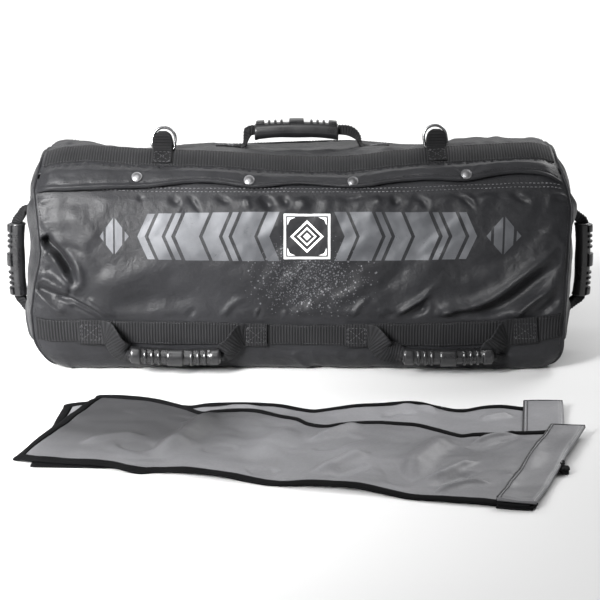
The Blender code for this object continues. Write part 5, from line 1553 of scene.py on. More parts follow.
# end handles
end_box = []
for side, sign in (("left", -1), ("right", 1)):
    xg = abs(END_GRIP_X[side])
    for tag, zl, up in (("lower", END_LUG_Z[0], -1), ("upper", END_LUG_Z[1], 1)):
        zg = END_GRIP_Z + up * END_GRIP_LEN / 2
        ctrl = []
        for dz in (0.036, 0.026, 0.016, 0.009):
            z = zl + up * dz
            p = end_skin(sign, 0.0, z, 0.0022)
            ctrl.append((p, (0, 1, 0), (sign, 0, 0), WEB_WIDE - 0.002, 0.0022, 0.0))
        base = abs(end_skin(sign, 0.0, zl + up * 0.003)[0])
        ctrl.append(((sign * (base + 0.0040), 0, zl + up * 0.0020), (0, 1, 0), (sign * 0.8, 0, up * 0.6), WEB_WIDE - 0.004, 0.0022, 0.25))
        ctrl.append(((sign * (END_AXIS_X + 0.0005), 0, zl - up * 0.0030), (0, 1, 0), (sign * 0.6, 0, up * 0.8), WEB_WIDE - 0.006, 0.0022, 1.0))
        ctrl.append(((sign * (xg * 0.6 + END_AXIS_X * 0.4), 0, (zl + zg) / 2 - up * 0.001), (0, 1, 0), (sign * 0.85, 0, up * 0.45), WEB_WIDE - 0.008, 0.0022, 2.0))
        ctrl.append(((sign * (xg + 0.0002), 0, zg + up * 0.0025), (0, 1, 0), (sign, 0, 0.0), 0.0270, 0.0022, 2.9))
        ctrl.append(((sign * xg, 0, zg - up * 0.0060), (0, 1, 0), (sign, 0, 0.0), 0.0245, 0.0022, PI))
        ctrl.append(((sign * xg, 0, zg - up * 0.0140), (0, 1, 0), (sign, 0, 0.0), 0.0240, 0.0022, PI))
        ob = swept_web("strap_end_%s_%s" % (side, tag), ctrl, core=0.0026)
        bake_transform(ob)
        z0_, z1_ = sorted((zl + up * 0.0120, zl + up * 0.0340))

        def face_line(a, b):
            ys, zs = np.linspace(a[0], b[0], 20), np.linspace(a[1], b[1], 20)
            return end_skin(sign, ys, zs, 0.0036), np.tile([sign, 0, 0], (20, 1)).astype(float)

        end_box += [face_line((-0.014, z0_), (0.014, z0_)), face_line((-0.014, z1_), (0.014, z1_)), face_line((-0.014, z0_), (-0.014, z1_)),
                    face_line((0.014, z0_), (0.014, z1_)), face_line((-0.014, z0_), (0.014, z1_)), face_line((-0.014, z1_), (0.014, z0_))]
    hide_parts(side + "_end_tack_lower", side + "_end_handle_strap")
    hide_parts(side + "_end_tack_upper")

# ============================================================== thread on the bag
ob = stitches("bag_thread", stitch_lines, THREAD, pitch=0.0056, length=0.0036, r=0.00058)
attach(ob, "bag")
ob = stitches("box_thread", box_stitches + end_box, THREAD_MID)
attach(ob, "bag")
ob = stitches("seam_thread", dark_lines, THREAD_DARK, pitch=0.0044, length=0.0030, r=0.00040)
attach(ob, "bag")

# ============================================================== zip, under the flap
def strip(name, s0, s1, off, thick, mat, x0=-0.350, x1=0.350, n=281, m=6):
    x = np.linspace(x0, x1, n)
    s = np.linspace(s0, s1, m)
    X, S = np.meshgrid(x, s, indexing="ij")
    top, low = warp(plain(X, S, off + thick)), warp(plain(X, S, off))
    rings = np.concatenate([top, low[:, ::-1]], 1)
    uv = np.stack([np.concatenate([X, X[:, ::-1]], 1), np.concatenate([S, S[:, ::-1]], 1)], -1)
    return tube(name, rings, mat, uv)


tape_low = -0.0038
for name, s0, s1 in (("zip_tape_upper", ZIP_S - 0.0184, ZIP_S - 0.0004), ("zip_tape_lower", ZIP_S + 0.0004, ZIP_S + 0.0184)):
    ob = strip(name + "_cloth", s0, s1, tape_low, 0.0008, TAPE)
    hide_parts(name)
    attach(ob, "bag")
# coil: two rows of interlocking loops on a cord
verts, faces, base = [], [], 0
ring = 6
ang = np.arange(ring) * 2 * PI / ring
pitch = 0.0021
count = int(0.696 / pitch)
for side in (-1, 1):
    for i in range(count):
        x = -0.348 + (i + (0.5 if side > 0 else 0.0)) * pitch
        path = []
        for t in np.linspace(0, 1, 6):
            s = ZIP_S + side * (0.0026 * (1 - t) - 0.0008 * t)
            path.append((x + 0.0004 * math.sin(PI * t), s, tape_low + 0.0014 + 0.0008 * math.sin(PI * (0.15 + 0.8 * t))))
        path = np.array(path)
        c = warp(plain(path[:, 0], path[:, 1], path[:, 2]))
        t_ = np.gradient(c, axis=0)
        t_ /= np.linalg.norm(t_, axis=1)[:, None]
        a_ = np.cross(t_, [1.0, 0, 0])
        a_ /= np.linalg.norm(a_, axis=1)[:, None]
        b_ = np.cross(t_, a_)
        rad = 0.00052 * np.array([0.7, 1, 1, 1, 1, 0.7])
        rg = c[:, None] + rad[:, None, None] * (np.cos(ang)[None, :, None] * a_[:, None] + np.sin(ang)[None, :, None] * b_[:, None])
        verts.append(rg.reshape(-1, 3))
        faces += [tuple(f) for f in grid_faces(6, ring, False, True) + base]
        faces += [tuple(base + k for k in reversed(range(ring))), tuple(base + 5 * ring + k for k in range(ring))]
        base += 6 * ring
coil = make("zip_teeth", np.vstack(verts), faces, COIL, fix_normals=True)
cord = strip("zip_coil_cord", ZIP_S - 0.0012, ZIP_S + 0.0012, tape_low + 0.0009, 0.0006, COIL)
coil = join("zip_teeth", [coil, cord])
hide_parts("zip_coil")
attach(coil, "bag")


def moulded_block(name, sx, sy, sz, frame_, mat, edge=0.0012, nip=0.0, hole=None):
    """A small cast body: a rounded box whose sides draw in by nip at its middle."""
    o, x, y, z = frame_
    bm = bmesh.new()
    bmesh.ops.create_cube(bm, size=1.0)
    bmesh.ops.subdivide_edges(bm, edges=bm.edges[:], cuts=3, use_grid_fill=True)
    for v in bm.verts:
        u = abs(v.co.x) * 2
        v.co.y *= 1 - nip * (1 - u * u)
        v.co.z *= 1 - 0.18 * u ** 4
        v.co.x, v.co.y, v.co.z = v.co.x * sx, v.co.y * sy, v.co.z * sz
    sharp = [e for e in bm.edges if e.calc_face_angle(0) > 0.9]
    bmesh.ops.bevel(bm, geom=sharp, offset=edge, segments=3, affect="EDGES", profile=0.6)
    me = bpy.data.meshes.new(name)
    bm.to_mesh(me)
    bm.free()
    m = Matrix(((x[0], y[0], z[0], o[0]), (x[1], y[1], z[1], o[1]), (x[2], y[2], z[2], o[2]), (0, 0, 0, 1)))
    me.transform(m)
    me.polygons.foreach_set("use_smooth", [True] * len(me.polygons))
    ob = bpy.data.objects.new(name, me)
    scene.collection.objects.link(ob)
    me.materials.append(mat)
    return ob


lo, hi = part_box("slider_body")
cen = (np.array(lo) + np.array(hi)) / 2
# the cloth carries the coil a little higher; the slider rides midway between its two ends
ends_ = np.array([cen[0], cen[0] - 0.605])
ride_up = float(np.mean((skin(ends_, np.full(2, ZIP_S)) - plain(ends_, np.full(2, ZIP_S)))[:, 2]))
cen[2] += ride_up
y, z, ny_, nz_ = section(ZIP_S)
slider = moulded_block("slider_cast", 0.0115, 0.0070, 0.0034, frame_at(cen, (0, float(ny_), float(nz_))), ZINC, 0.0007, 0.22)
bridge = round_path("slider_bridge", [cen + np.array([dx, 0, 0]) + np.array([0, float(ny_), float(nz_)]) * dz for dx, dz in
                                      ((0.0040, 0.0012), (0.0034, 0.0024), (0.0010, 0.0030), (-0.0016, 0.0026), (-0.0022, 0.0014))],
                    0.0006, ZINC, n=8, spacing=0.0005)
slider = join("slider_cast", [slider, bridge])
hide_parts("slider_body")
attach(slider, "zip_slider")
lo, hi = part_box("pull_tab")
cen = (np.array(lo) + np.array(hi)) / 2
cen[2] += ride_up
n_ = np.array([0, float(ny_), float(nz_)])
o_, x_, y_, z_ = frame_at(cen, n_)
loop = []
for t in np.linspace(0, 2 * PI, 49)[:-1]:
    cx, cy = math.cos(t), math.sin(t)
    w = 0.0026 if cx < 0.3 else 0.0017
    loop.append(o_ + x_ * 0.0122 * cx + y_ * w * np.sign(cy) * abs(cy) ** 0.55)
pull = round_path("pull_wire", loop, 0.00055, ZINC, closed=True, n=8, spacing=0.0006)
tongue = moulded_block("pull_tongue", 0.0120, 0.0052, 0.0009, (o_ - x_ * 0.0060, x_, y_, z_), ZINC, 0.0003, -0.05)
pull = join("pull_cast", [pull, tongue])
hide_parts("pull_tab")
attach(pull, "zip_slider")


# ============================================================== print on the front
def film(name, outline_rows, mat, off=0.00016):
    """A thin printed film on the cloth: rows of (x, s) across a patch, nu x nv."""
    g = np.asarray(outline_rows, float)
    p = skin(g[..., 0], g[..., 1], off)
    return grid(name, p, mat, g)


def quad_patch(c00, c10, c11, c01, step=0.0024):
    """A grid over a four-cornered patch of (x, s)."""
    c00, c10, c11, c01 = map(np.asarray, (c00, c10, c11, c01))
    nu = max(2, int(max(np.linalg.norm(c10 - c00), np.linalg.norm(c11 - c01)) / step) + 1)
    nv = max(2, int(max(np.linalg.norm(c01 - c00), np.linalg.norm(c11 - c10)) / step) + 1)
    u, v = np.meshgrid(np.linspace(0, 1, nu), np.linspace(0, 1, nv), indexing="ij")
    u, v = u[..., None], v[..., None]
    return c00 * (1 - u) * (1 - v) + c10 * u * (1 - v) + c11 * u * v + c01 * (1 - u) * v


S_TOP, S_LOW = on_front(300, 212)[1], on_front(300, 261)[1]
S_MID = (S_TOP + S_LOW) / 2
PATCH_X = on_front(307, 236)[0]
pieces = []
# chevrons of several widths, pointing outward on both sides, shorter towards the ends
marks = [(0.0370, 0.016), (0.0575, 0.030), (0.0925, 0.008), (0.1055, 0.022), (0.1325, 0.032), (0.1700, 0.008), (0.1830, 0.018), (0.2060, 0.010)]
for way in (-1, 1):
    for d, w in marks:
        tall = (S_LOW - S_TOP) / 2 * (1.0 - 0.10 * (d / 0.23) ** 2)
        lean = 0.0140
        for up in (-1, 1):
            a = (PATCH_X + way * (d + lean), S_MID)
            b = (PATCH_X + way * (d + w + lean), S_MID)
            c = (PATCH_X + way * (d + w), S_MID + up * tall)
            e = (PATCH_X + way * d, S_MID + up * tall)
            g = quad_patch(a, b, c, e)
            flip = (way * up) > 0
            p = skin(g[..., 0], g[..., 1], 0.00018)
            pieces.append(grid("mark", p, FOIL, g, flip=flip))
    # a split diamond at each end of the row
    for half in (-1, 1):
        c0 = PATCH_X + way * 0.262
        for (a0, a1) in ((0.0012, 0.0115), (0.0150, 0.0205)):
            e1, e2 = a0, a1
            quads = (((c0 + half * e1, S_MID - (0.0205 - e1) * 1.25), (c0 + half * e2, S_MID - (0.0205 - e2) * 1.25),
                      (c0 + half * e2, S_MID + (0.0205 - e2) * 1.25), (c0 + half * e1, S_MID + (0.0205 - e1) * 1.25)),)
            for quad in quads:
                g = quad_patch(*quad)
                p = skin(g[..., 0], g[..., 1], 0.00018)
                e_a, e_b = g[-1, 0] - g[0, 0], g[0, -1] - g[0, 0]
                pieces.append(grid("mark", p, FOIL, g, flip=(e_a[0] * e_b[1] - e_a[1] * e_b[0]) > 0))
print_ = join("foil_marks", pieces)
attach(print_, "bag")

# square badge: black ground, white border, nested diamonds
half_x, half_s = 0.0315, (on_front(300, 259)[1] - on_front(300, 214)[1]) / 2
s_c = (on_front(300, 214)[1] + on_front(300, 259)[1]) / 2
pieces = [grid("badge", skin(*(lambda g: (g[..., 0], g[..., 1], 0.00026))(quad_patch((PATCH_X - half_x, s_c - half_s), (PATCH_X + half_x, s_c - half_s),
               (PATCH_X + half_x, s_c + half_s), (PATCH_X - half_x, s_c + half_s), 0.0016))), INK_BLACK,
               quad_patch((PATCH_X - half_x, s_c - half_s), (PATCH_X + half_x, s_c - half_s), (PATCH_X + half_x, s_c + half_s), (PATCH_X - half_x, s_c + half_s), 0.0016), flip=True)]


def white_quad(a, b, c, d, off=0.00042):
    g = quad_patch(a, b, c, d, 0.0014)
    p = skin(g[..., 0], g[..., 1], off)
    e1, e2 = g[-1, 0] - g[0, 0], g[0, -1] - g[0, 0]
    turn = e1[0] * e2[1] - e1[1] * e2[0]
    pieces.append(grid("ink", p, INK_WHITE, g, flip=turn > 0))


def frame_quads(cx, cs, rx, rs, t, diamond=False):
    """Four strips round a square or a diamond."""
    if diamond:
        o = [(cx, cs - rs), (cx + rx, cs), (cx, cs + rs), (cx - rx, cs)]
        i = [(cx, cs - rs + t * 1.4), (cx + rx - t * 1.4, cs), (cx, cs + rs - t * 1.4), (cx - rx + t * 1.4, cs)]
    else:
        o = [(cx - rx, cs - rs), (cx + rx, cs - rs), (cx + rx, cs + rs), (cx - rx, cs + rs)]
        i = [(cx - rx + t, cs - rs + t), (cx + rx - t, cs - rs + t), (cx + rx - t, cs + rs - t), (cx - rx + t, cs + rs - t)]
    for k in range(4):
        white_quad(o[k], o[(k + 1) % 4], i[(k + 1) % 4], i[k])


frame_quads(PATCH_X, s_c, half_x, half_s, 0.0030)
frame_quads(PATCH_X, s_c, half_x * 0.72, half_s * 0.72, 0.0028, True)
frame_quads(PATCH_X, s_c, half_x * 0.42, half_s * 0.42, 0.0024, True)
white_quad((PATCH_X, s_c - half_s * 0.17), (PATCH_X + half_x * 0.17, s_c), (PATCH_X, s_c + half_s * 0.17), (PATCH_X - half_x * 0.17, s_c))
for sx in (-1, 1):
    for sz in (-1, 1):
        for k, ln in ((0.80, 0.26), (0.62, 0.15)):
            cx_, cs_ = PATCH_X + sx * half_x * k, s_c + sz * half_s * 0.80
            if k == 0.80:
                a = (PATCH_X + sx * half_x * 0.84, s_c + sz * half_s * 0.50)
                b = (PATCH_X + sx * half_x * 0.84, s_c + sz * half_s * 0.84)
                c = (PATCH_X + sx * half_x * 0.50, s_c + sz * half_s * 0.84)
                m_ = (PATCH_X + sx * half_x * 0.74, s_c + sz * half_s * 0.74)
                white_quad(a, b, m_, a)
                white_quad(b, c, c, m_)
badge = join("front_badge", pieces)
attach(badge, "bag")

# speckle: small round dots, densest under the badge
rng = np.random.default_rng(7)
verts, faces, uvs, base = [], [], [], 0
n = 9
ang = np.arange(n) * 2 * PI / n
placed = []
for _ in range(1500):
    gx, gs = rng.normal(0, 0.036), rng.normal(0.030, 0.024)
    x, s = PATCH_X + 0.002 + gx, s_c + 0.024 + gs
    if abs(gx) < half_x + 0.002 and abs(s - s_c) < half_s + 0.002:
        continue
    if not (0.150 < s < LOW_BAND_S - 0.006) or abs(gx) > 0.095:
        continue
    r = 0.0004 + 0.0011 * rng.random() ** 3
    if any((x - a) ** 2 + (s - b) ** 2 < (r + c) ** 2 for a, b, c in placed[-400:]):
        continue
    placed.append((x, s, r))
    px_, ps_ = x + r * np.cos(ang), s + r * np.sin(ang)
    p = skin(px_, ps_, 0.00030)
    c = skin(x, s, 0.00034)
    verts.append(np.vstack([p, c[None]]))
    uvs.append(np.vstack([np.stack([px_, ps_], 1), [[x, s]]]))
    faces += [(base + (k + 1) % n, base + k, base + n) for k in range(n)]
    base += n + 1
dots = make("speckle", np.vstack(verts), faces, INK_GREY, np.vstack(uvs))
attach(dots, "bag")


# ============================================================== the filling
_tree_rows = BODY[::2, ::2]
_hull = BVHTree.FromPolygons([tuple(v) for v in _tree_rows.reshape(-1, 3)], [tuple(f) for f in grid_faces(*_tree_rows.shape[:2])])


def inside(p, gap=0.0040):
    """Points pressed back to lie a little inside the bag's cloth."""
    flat_ = p.reshape(-1, 3)
    for i, v in enumerate(flat_):
        at_, n_, _, _ = _hull.find_nearest(Vector(v))
        out = np.array((0.0, at_[1], at_[2] - 0.15))
        n_ = np.array(n_) * (1.0 if float(np.dot(n_, out)) > 0 else -1.0)
        if float(np.dot(v - np.array(at_), n_)) > -gap:
            flat_[i] = np.array(at_) - n_ * gap
    flat_[:, 2] = np.maximum(flat_[:, 2], 0.0030)
    return flat_.reshape(p.shape)


def stuffed(name, node):
    lo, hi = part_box(node)
    lo, hi = np.array(lo), np.array(hi)
    c, h = (lo + hi) / 2, (hi - lo) / 2
    nu, nv = 90, 48
    u = np.linspace(-1, 1, nu)
    ang = np.arange(nv) * 2 * PI / nv
    rings = []
    for a in u:
        end = (1 - abs(a) ** 8) ** 0.5 if abs(a) < 1 else 0.02
        end = max(end, 0.05)
        ex = 2.0 / 5.0
        cy, cz = np.cos(ang), np.sin(ang)
        yy_ = np.sign(cy) * np.abs(cy) ** ex * h[1] * (0.35 + 0.65 * end)
        zz_ = np.sign(cz) * np.abs(cz) ** ex * h[2] * (0.35 + 0.65 * end)
        k = 1 - 0.025 * (0.5 + 0.5 * noise2(a * 9 + 0 * ang, ang * 1.6, 61))
        rings.append(np.stack([np.full(nv, c[0] + a * h[0]), c[1] + yy_ * k, c[2] + zz_ * k], 1))
    rings = inside(warp(np.array(rings), 0.0))
    x_uv = np.repeat((c[0] + u * h[0])[:, None], nv, 1)
    ob = tube(name, rings, FILLED, np.stack([x_uv, np.repeat(ang[None] * 0.06, nu, 0)], -1))
    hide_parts(node)
    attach(ob, "bag")
    return ob


stuffed("sand_sleeve_front", "filled_filler_front")
stuffed("sand_sleeve_rear", "filled_filler_rear")

# ============================================================== empty sleeves in front
CUFF_LEN = 0.0500
LOW_FAR = ((64.3, 402.5, 2), (92, 399.9, 4), (130, 398.4, 4), (160, 400.5, 3), (190.7, 403.8, 2), (205.7, 401.9, 5), (231.4, 400.4, 7),
           (257, 401, 7), (283, 403, 5), (300, 405.9, 2), (313, 407.4, 1), (328, 406, 2), (353.6, 403, 5), (385.7, 401, 7), (403, 399.9, 8),
           (420, 400.4, 8), (437, 403.6, 5), (454.3, 407.2, 2), (467, 407.4, 1.5), (482, 404.6, 4), (497, 403.2, 5), (524, 404.4, 4))
LOW_FAR_C = ((524, 400.6, 6), (545, 399.6, 7), (562.5, 400.4, 6))
LOW_NEAR = ((31, 467.2, 0), (60, 467.6, 0.3), (100, 468.2, 0), (113, 468.3, 0), (140, 468, 0), (200, 467, 0), (300, 467, 0), (400, 469, 0), (522, 471, 0))
LOW_NEAR_C = ((522, 471, 0), (545, 472.2, 0), (566, 473.2, 0))
UP_FAR = ((97.5, 393.3, 6), (116, 393.5, 9), (137, 394.6, 10.5), (156.4, 396.7, 10.5), (171.4, 400.4, 8), (188.6, 405.3, 5), (203.6, 409.6, 3.5),
          (214.3, 408.2, 5), (235.7, 406.8, 9), (257, 407.6, 10.5), (278.6, 412.2, 9), (300, 416.2, 7), (308.6, 420.2, 5), (327.9, 423.2, 3.5),
          (340, 421.4, 6), (353.6, 419.8, 8.5), (381.4, 419.4, 10.5), (407, 420.5, 11), (420, 421.8, 10.5), (437, 426, 8), (454.3, 431.2, 5),
          (463, 433.2, 4), (478, 431.4, 7), (505.7, 430.6, 9), (535.7, 428.6, 10), (549, 427.4, 10))
UP_FAR_C = ((551, 424.4, 11), (568, 424.2, 11), (585, 425.2, 9))
UP_NEAR = ((13.3, 460.4, 0.5), (40, 462.3, 2.5), (64, 464.2, 3.4), (96.4, 466, 3), (113.6, 467.9, 2), (126.4, 471.6, 0.5), (139.3, 474.0, 0.2), (154.3, 472.6, 1.6),
           (175, 472.2, 3.4), (203.6, 474.3, 4.5), (225, 477.5, 3.5), (246.4, 482.2, 1.0), (265.7, 485.4, 0.4), (283, 486, 1.5), (300, 485.4, 3.5),
           (332, 486, 5), (353.6, 488.2, 4.5), (375, 492.4, 2.4), (396.4, 497.2, 0.8), (411.4, 499.8, 0.4), (450, 502.2, 1.5), (497, 505.6, 1.8))
UP_NEAR_C = ((497, 501.0, 7.6), (516, 502.8, 7.4), (536, 504.6, 6.2))


def edge_line(rows, n, extra, below=None):
    """World points along an edge given by where it shows and how high it stands (mm)."""
    c, _, run = curve_through(np.array([(a, b_, h * 0.6) for a, b_, h in rows], float), 0.5)
    at = np.linspace(0, run[-1], n)
    u, v, h = (np.interp(at, run, c[:, k]) for k in range(3))
    z = np.maximum(h / 0.6 * 0.001, 0.0002)
    for _ in range(3 if below is not None else 0):
        p = np.array([on_floor(a, b_, zz + extra) for a, b_, zz in zip(u, v, z)])
        z = np.maximum(z, below(p[:, 0], p[:, 1]))
    return np.array([on_floor(a, b_, zz + extra) for a, b_, zz in zip(u, v, z)]), z


class Rest:
    """The height of what already lies on the floor, smoothed the way cloth bridges a step."""
    CELL = 0.002

    def __init__(self, tops, gap=0.0005):
        self.x0, self.y0 = -0.46, -0.72
        self.h = np.zeros((460, 360))
        for t in tops:
            for a in (t, (t[1:] + t[:-1]) / 2, (t[:, 1:] + t[:, :-1]) / 2):
                i = np.clip(((a[..., 0] - self.x0) / self.CELL).astype(int), 0, 459)
                j = np.clip(((a[..., 1] - self.y0) / self.CELL).astype(int), 0, 359)
                np.maximum.at(self.h, (i.ravel(), j.ravel()), a[..., 2].ravel() + gap)
        for _ in range(2):
            self.h = self.each(self.h, np.maximum)
        wide_ = self.h
        for _ in range(4):
            wide_ = self.each(wide_, np.maximum)
        for _ in range(9):
            wide_ = self.each(wide_, np.add) / 9.0
        self.h = np.maximum(self.h, wide_)
        for _ in range(2):
            self.h = self.each(self.h, np.add) / 9.0

    @staticmethod
    def each(h, op):
        p = np.pad(h, 1, mode="edge")
        out = p[1:-1, :-2]
        out = op(op(out, p[1:-1, 1:-1]), p[1:-1, 2:])
        q = np.pad(out, 1, mode="edge")
        return op(op(q[:-2, 1:-1], q[1:-1, 1:-1]), q[2:, 1:-1])

    def __call__(self, x, y):
        a = np.clip((np.asarray(x) - self.x0) / self.CELL - 0.5, 0, 458.999)
        b = np.clip((np.asarray(y) - self.y0) / self.CELL - 0.5, 0, 358.999)
        i, j = a.astype(int), b.astype(int)
        fa, fb = a - i, b - j
        h = self.h
        return (h[i, j] * (1 - fa) * (1 - fb) + h[i + 1, j] * fa * (1 - fb)
                + h[i, j + 1] * (1 - fa) * fb + h[i + 1, j + 1] * fa * fb)


def sleeve(tag, near, far, near_c, far_c, creases, seed, mat, stack, wide, long_, below=None):
    thick = 0.0042
    body = "filler_" + tag
    nu, nv, nc = 281, 111, 43
    v1 = np.linspace(0, 1, nv)
    v1 = 0.5 - 0.5 * np.cos(PI * v1) * (0.72 + 0.28 * np.abs(np.cos(PI * v1)))       # closer together near the edges

    def patch(nr, fr, n, sd, cuff):
        N_, zn = edge_line(nr, n, 0.0, below)
        F_, zf = edge_line(fr, n, thick + (0.0004 if cuff else 0.0030), below)
        u = np.linspace(0, 1, n)[:, None]
        v = v1[None]
        p = N_[:, None] * (1 - v[..., None]) + F_[:, None] * v[..., None]
        un = u * (CUFF_LEN if cuff else long_) + (long_ if cuff else 0)
        wn = v * wide
        z = stack(u if not cuff else np.ones_like(u), v) + 0.0008 + 0.0024 * (0.5 + 0.5 * fbm(un / 0.15 + sd, wn / 0.11, seed, 2, 0.5))
        wn_, wf_ = np.exp(-(wn / 0.042) ** 2), np.exp(-((wide - wn) / 0.060) ** 2)
        z = z * (1 - wn_) * (1 - wf_) + zn[:, None] * wn_ + zf[:, None] * wf_ * (1 - wn_)
        z = z + 0.00040 * fbm(un / 0.028, wn / 0.022, seed + 5, 2) * smooth(0, 0.01, wn) * smooth(0, 0.01, wide - wn)
        p[..., 2] = z
        return p, un + 0 * v, wn + 0 * u

    P1, U1, W1 = patch(near, far, nu, 0, False)
    P2, U2, W2 = patch(near_c, far_c, nc, 0, True)
    # creases, given by where they show
    for pts, w, h, kind in creases:
        q = []
        for a, b_ in pts:
            g = on_floor(a, b_, 0.010)
            best = None
            for P_, U_, W_ in ((P1, U1, W1), (P2, U2, W2)):
                d = np.hypot(P_[..., 0] - g[0], P_[..., 1] - g[1])
                k = np.unravel_index(np.argmin(d), d.shape)
                if best is None or d[k] < best[0]:
                    best = (d[k], U_[k], W_[k])
            q.append(best[1:])
        for P_, U_, W_ in ((P1, U1, W1), (P2, U2, W2)):
            P_[..., 2] += 2.0 * stroke(U_, W_, q, w, h, kind, (0.3, 0.3)) * smooth(0.0, 0.02, W_) * smooth(0.0, 0.02, wide - W_)
    # the cuff is folded over and sewn: it lies on the end of the sleeve
    end = U1 > long_ - 0.030
    P1[..., 2] = np.where(end, P1[..., 2] - 0.0010 * smooth(long_ - 0.030, long_, U1), P1[..., 2])
    out = []
    for P_, U_, W_, kind in ((P1, U1, W1, "cloth"), (P2, U2, W2, "cuff")):
        n, m = P_.shape[:2]
        P_[..., 2] = np.maximum(P_[..., 2], 0.0002)
        if below is not None:
            b_ = below(P_[..., 0], P_[..., 1])
            d_ = P_[..., 2] - b_
            P_[..., 2] = b_ + 0.5 * (d_ + np.sqrt(d_ * d_ + 0.0006 ** 2))
        rim_d = np.minimum(np.minimum(W_, wide - W_), (U_ if kind == "cloth" else np.minimum(U_ - long_, long_ + CUFF_LEN - U_)))
        th = thick * (0.50 + 0.50 * smooth(0, 0.007, rim_d)) * (0.80 + 0.25 * noise2(U_ / 0.05, W_ / 0.045, seed + 8))
        if kind == "cuff":
            th = th + 0.0014 + 0.0012 * smooth(0.030, 0.0, U_ - long_)
        top, low = P_.copy(), P_.copy()
        top[..., 2] += th
        if kind == "cuff":
            # its far and near rims run a little past the sleeve's
            top[..., 2] += 0.0006 * smooth(0.02, 0.0, long_ + CUFF_LEN - U_)
        verts = np.vstack([top.reshape(-1, 3), low.reshape(-1, 3)])
        idx = np.arange(n * m).reshape(n, m)
        rim_ = np.concatenate([idx[:, 0], idx[-1, 1:], idx[::-1, -1][1:], idx[0, ::-1][1:]])
        nose = (verts[rim_] + verts[rim_ + n * m]) / 2
        c_ = verts[:, :2].mean(0)
        push = np.zeros_like(nose)
        tan = np.roll(nose, -1, 0) - np.roll(nose, 1, 0)
        push[:, 0], push[:, 1] = tan[:, 1], -tan[:, 0]
        push /= np.maximum(np.linalg.norm(push, axis=1)[:, None], 1e-9)
        flip = np.sign(((nose[:, :2] - c_) * push[:, :2]).sum(1).mean())
        nose = nose + push * flip * 0.0010
        verts = np.vstack([verts, nose])
        k0 = 2 * n * m
        side = []
        for k in range(len(rim_) - 1):
            side.append((rim_[k], rim_[k + 1], k0 + k + 1, k0 + k))
            side.append((k0 + k, k0 + k + 1, rim_[k + 1] + n * m, rim_[k] + n * m))
        uv = np.stack([U_, W_], -1).reshape(-1, 2)
        uv = np.vstack([uv, uv, uv[rim_]])
        ob = make("sleeve_%s_%s" % (tag, kind), verts, [tuple(q) for q in grid_faces(n, m, flip=True)] + [tuple(q) for q in grid_faces(n, m) + n * m] + side,
                  mat, uv, fix_normals=True)
        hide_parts("filler_%s_%s" % (tag, "sleeve" if kind == "cloth" else "cuff"))
        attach(ob, body)
        out.append((ob, top, low))
    (cloth, top, low), (cuff, topc, lowc) = out

    # binding tape folded over three edges
    made = []
    tape_w = 0.0124

    def strip_along(rows_top, rows_low, outward, full=(0.0002, 0.0013, 0.0015, 0.0013)):
        """Rows run from the tape's inner edge out over the rim and back underneath."""
        rows = [r + np.array([0, 0, full[q]]) for q, r in enumerate(rows_top)]
        rim_top, rim_low = rows_top[-1], rows_low[-1]
        rows.append(rim_top * 0.9 + rim_low * 0.1 + outward * 0.0016 + np.array([0, 0, 0.0008]))
        rows.append(rim_top * 0.5 + rim_low * 0.5 + outward * 0.0026)
        rows.append(rim_top * 0.1 + rim_low * 0.9 + outward * 0.0014 - np.array([0, 0, 0.0002]))
        rows += [r - np.array([0, 0, 0.0003]) for r in rows_low[::-1]]
        rows = np.array(rows).transpose(1, 0, 2)
        rows[..., 2] = np.maximum(rows[..., 2], 0.0001)
        return tube("tape", rows, BINDING)

    def row_at(arr, dist, side):
        w_ = v1 * wide
        d = dist if side == "near" else wide - dist
        return np.array([[np.interp(d, w_, arr[i, :, k]) for k in range(3)] for i in range(arr.shape[0])])

    for side in ("near", "far"):
        wob = 1.0
        tops = [row_at(top, d, side) for d in (tape_w, tape_w * 0.7, tape_w * 0.35, 0.0015)]
        lows = [row_at(low, d, side) for d in (tape_w * 0.7, 0.0015)]
        outw = tops[-1] - tops[0]
        outw[:, 2] = 0
        outw /= np.linalg.norm(outw, axis=1)[:, None]
        made.append(strip_along(tops, lows, outw, (0.0003, 0.0024, 0.0034, 0.0030) if side == "far" else (0.0002, 0.0013, 0.0015, 0.0013)))
    run_u = np.concatenate([[0], np.cumsum(np.linalg.norm(np.diff(top[:, nv // 2], axis=0), axis=1))])

    def col_at(arr, dist):
        return np.array([[np.interp(dist, run_u, arr[:, j, k]) for k in range(3)] for j in range(arr.shape[1])])

    tops = [col_at(top, d) for d in (tape_w, tape_w * 0.7, tape_w * 0.35, 0.0012)]
    lows = [col_at(low, d) for d in (tape_w * 0.7, 0.0012)]
    outw = tops[-1] - tops[0]
    outw[:, 2] = 0
    outw /= np.linalg.norm(outw, axis=1)[:, None]
    made.append(strip_along(tops, lows, outw))
    bind = join("sleeve_%s_binding" % tag, made)
    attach(bind, body)

    # painted shade: dark cords in the cuff's seam grooves, and its black far edge
    groove = []
    for col, r_ in ((0, 0.0010), (4, 0.00055)):
        c_ = topc[col] + np.array([0, 0, 0.0002])
        groove.append(round_path("seam", c_[::3], r_, THREAD_DARK, n=6, spacing=0.003))
    c_ = topc[:, -1] + np.array([0, 0, 0.0001])
    groove.append(round_path("seam", c_[::3], 0.0011, THREAD_DARK, n=6, spacing=0.003))
    seams = join("sleeve_%s_seams" % tag, groove)
    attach(seams, body)
    up = np.tile([0.0, 0.0, 1.0], (nv, 1))
    white = stitches("sleeve_%s_thread" % tag, [(topc[2] + np.array([0, 0, 0.0002]), up), (topc[-3] + np.array([0, 0, 0.0002]), up)], THREAD_PALE,
                     pitch=0.0040, length=0.0028, r=0.00032)
    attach(white, body)
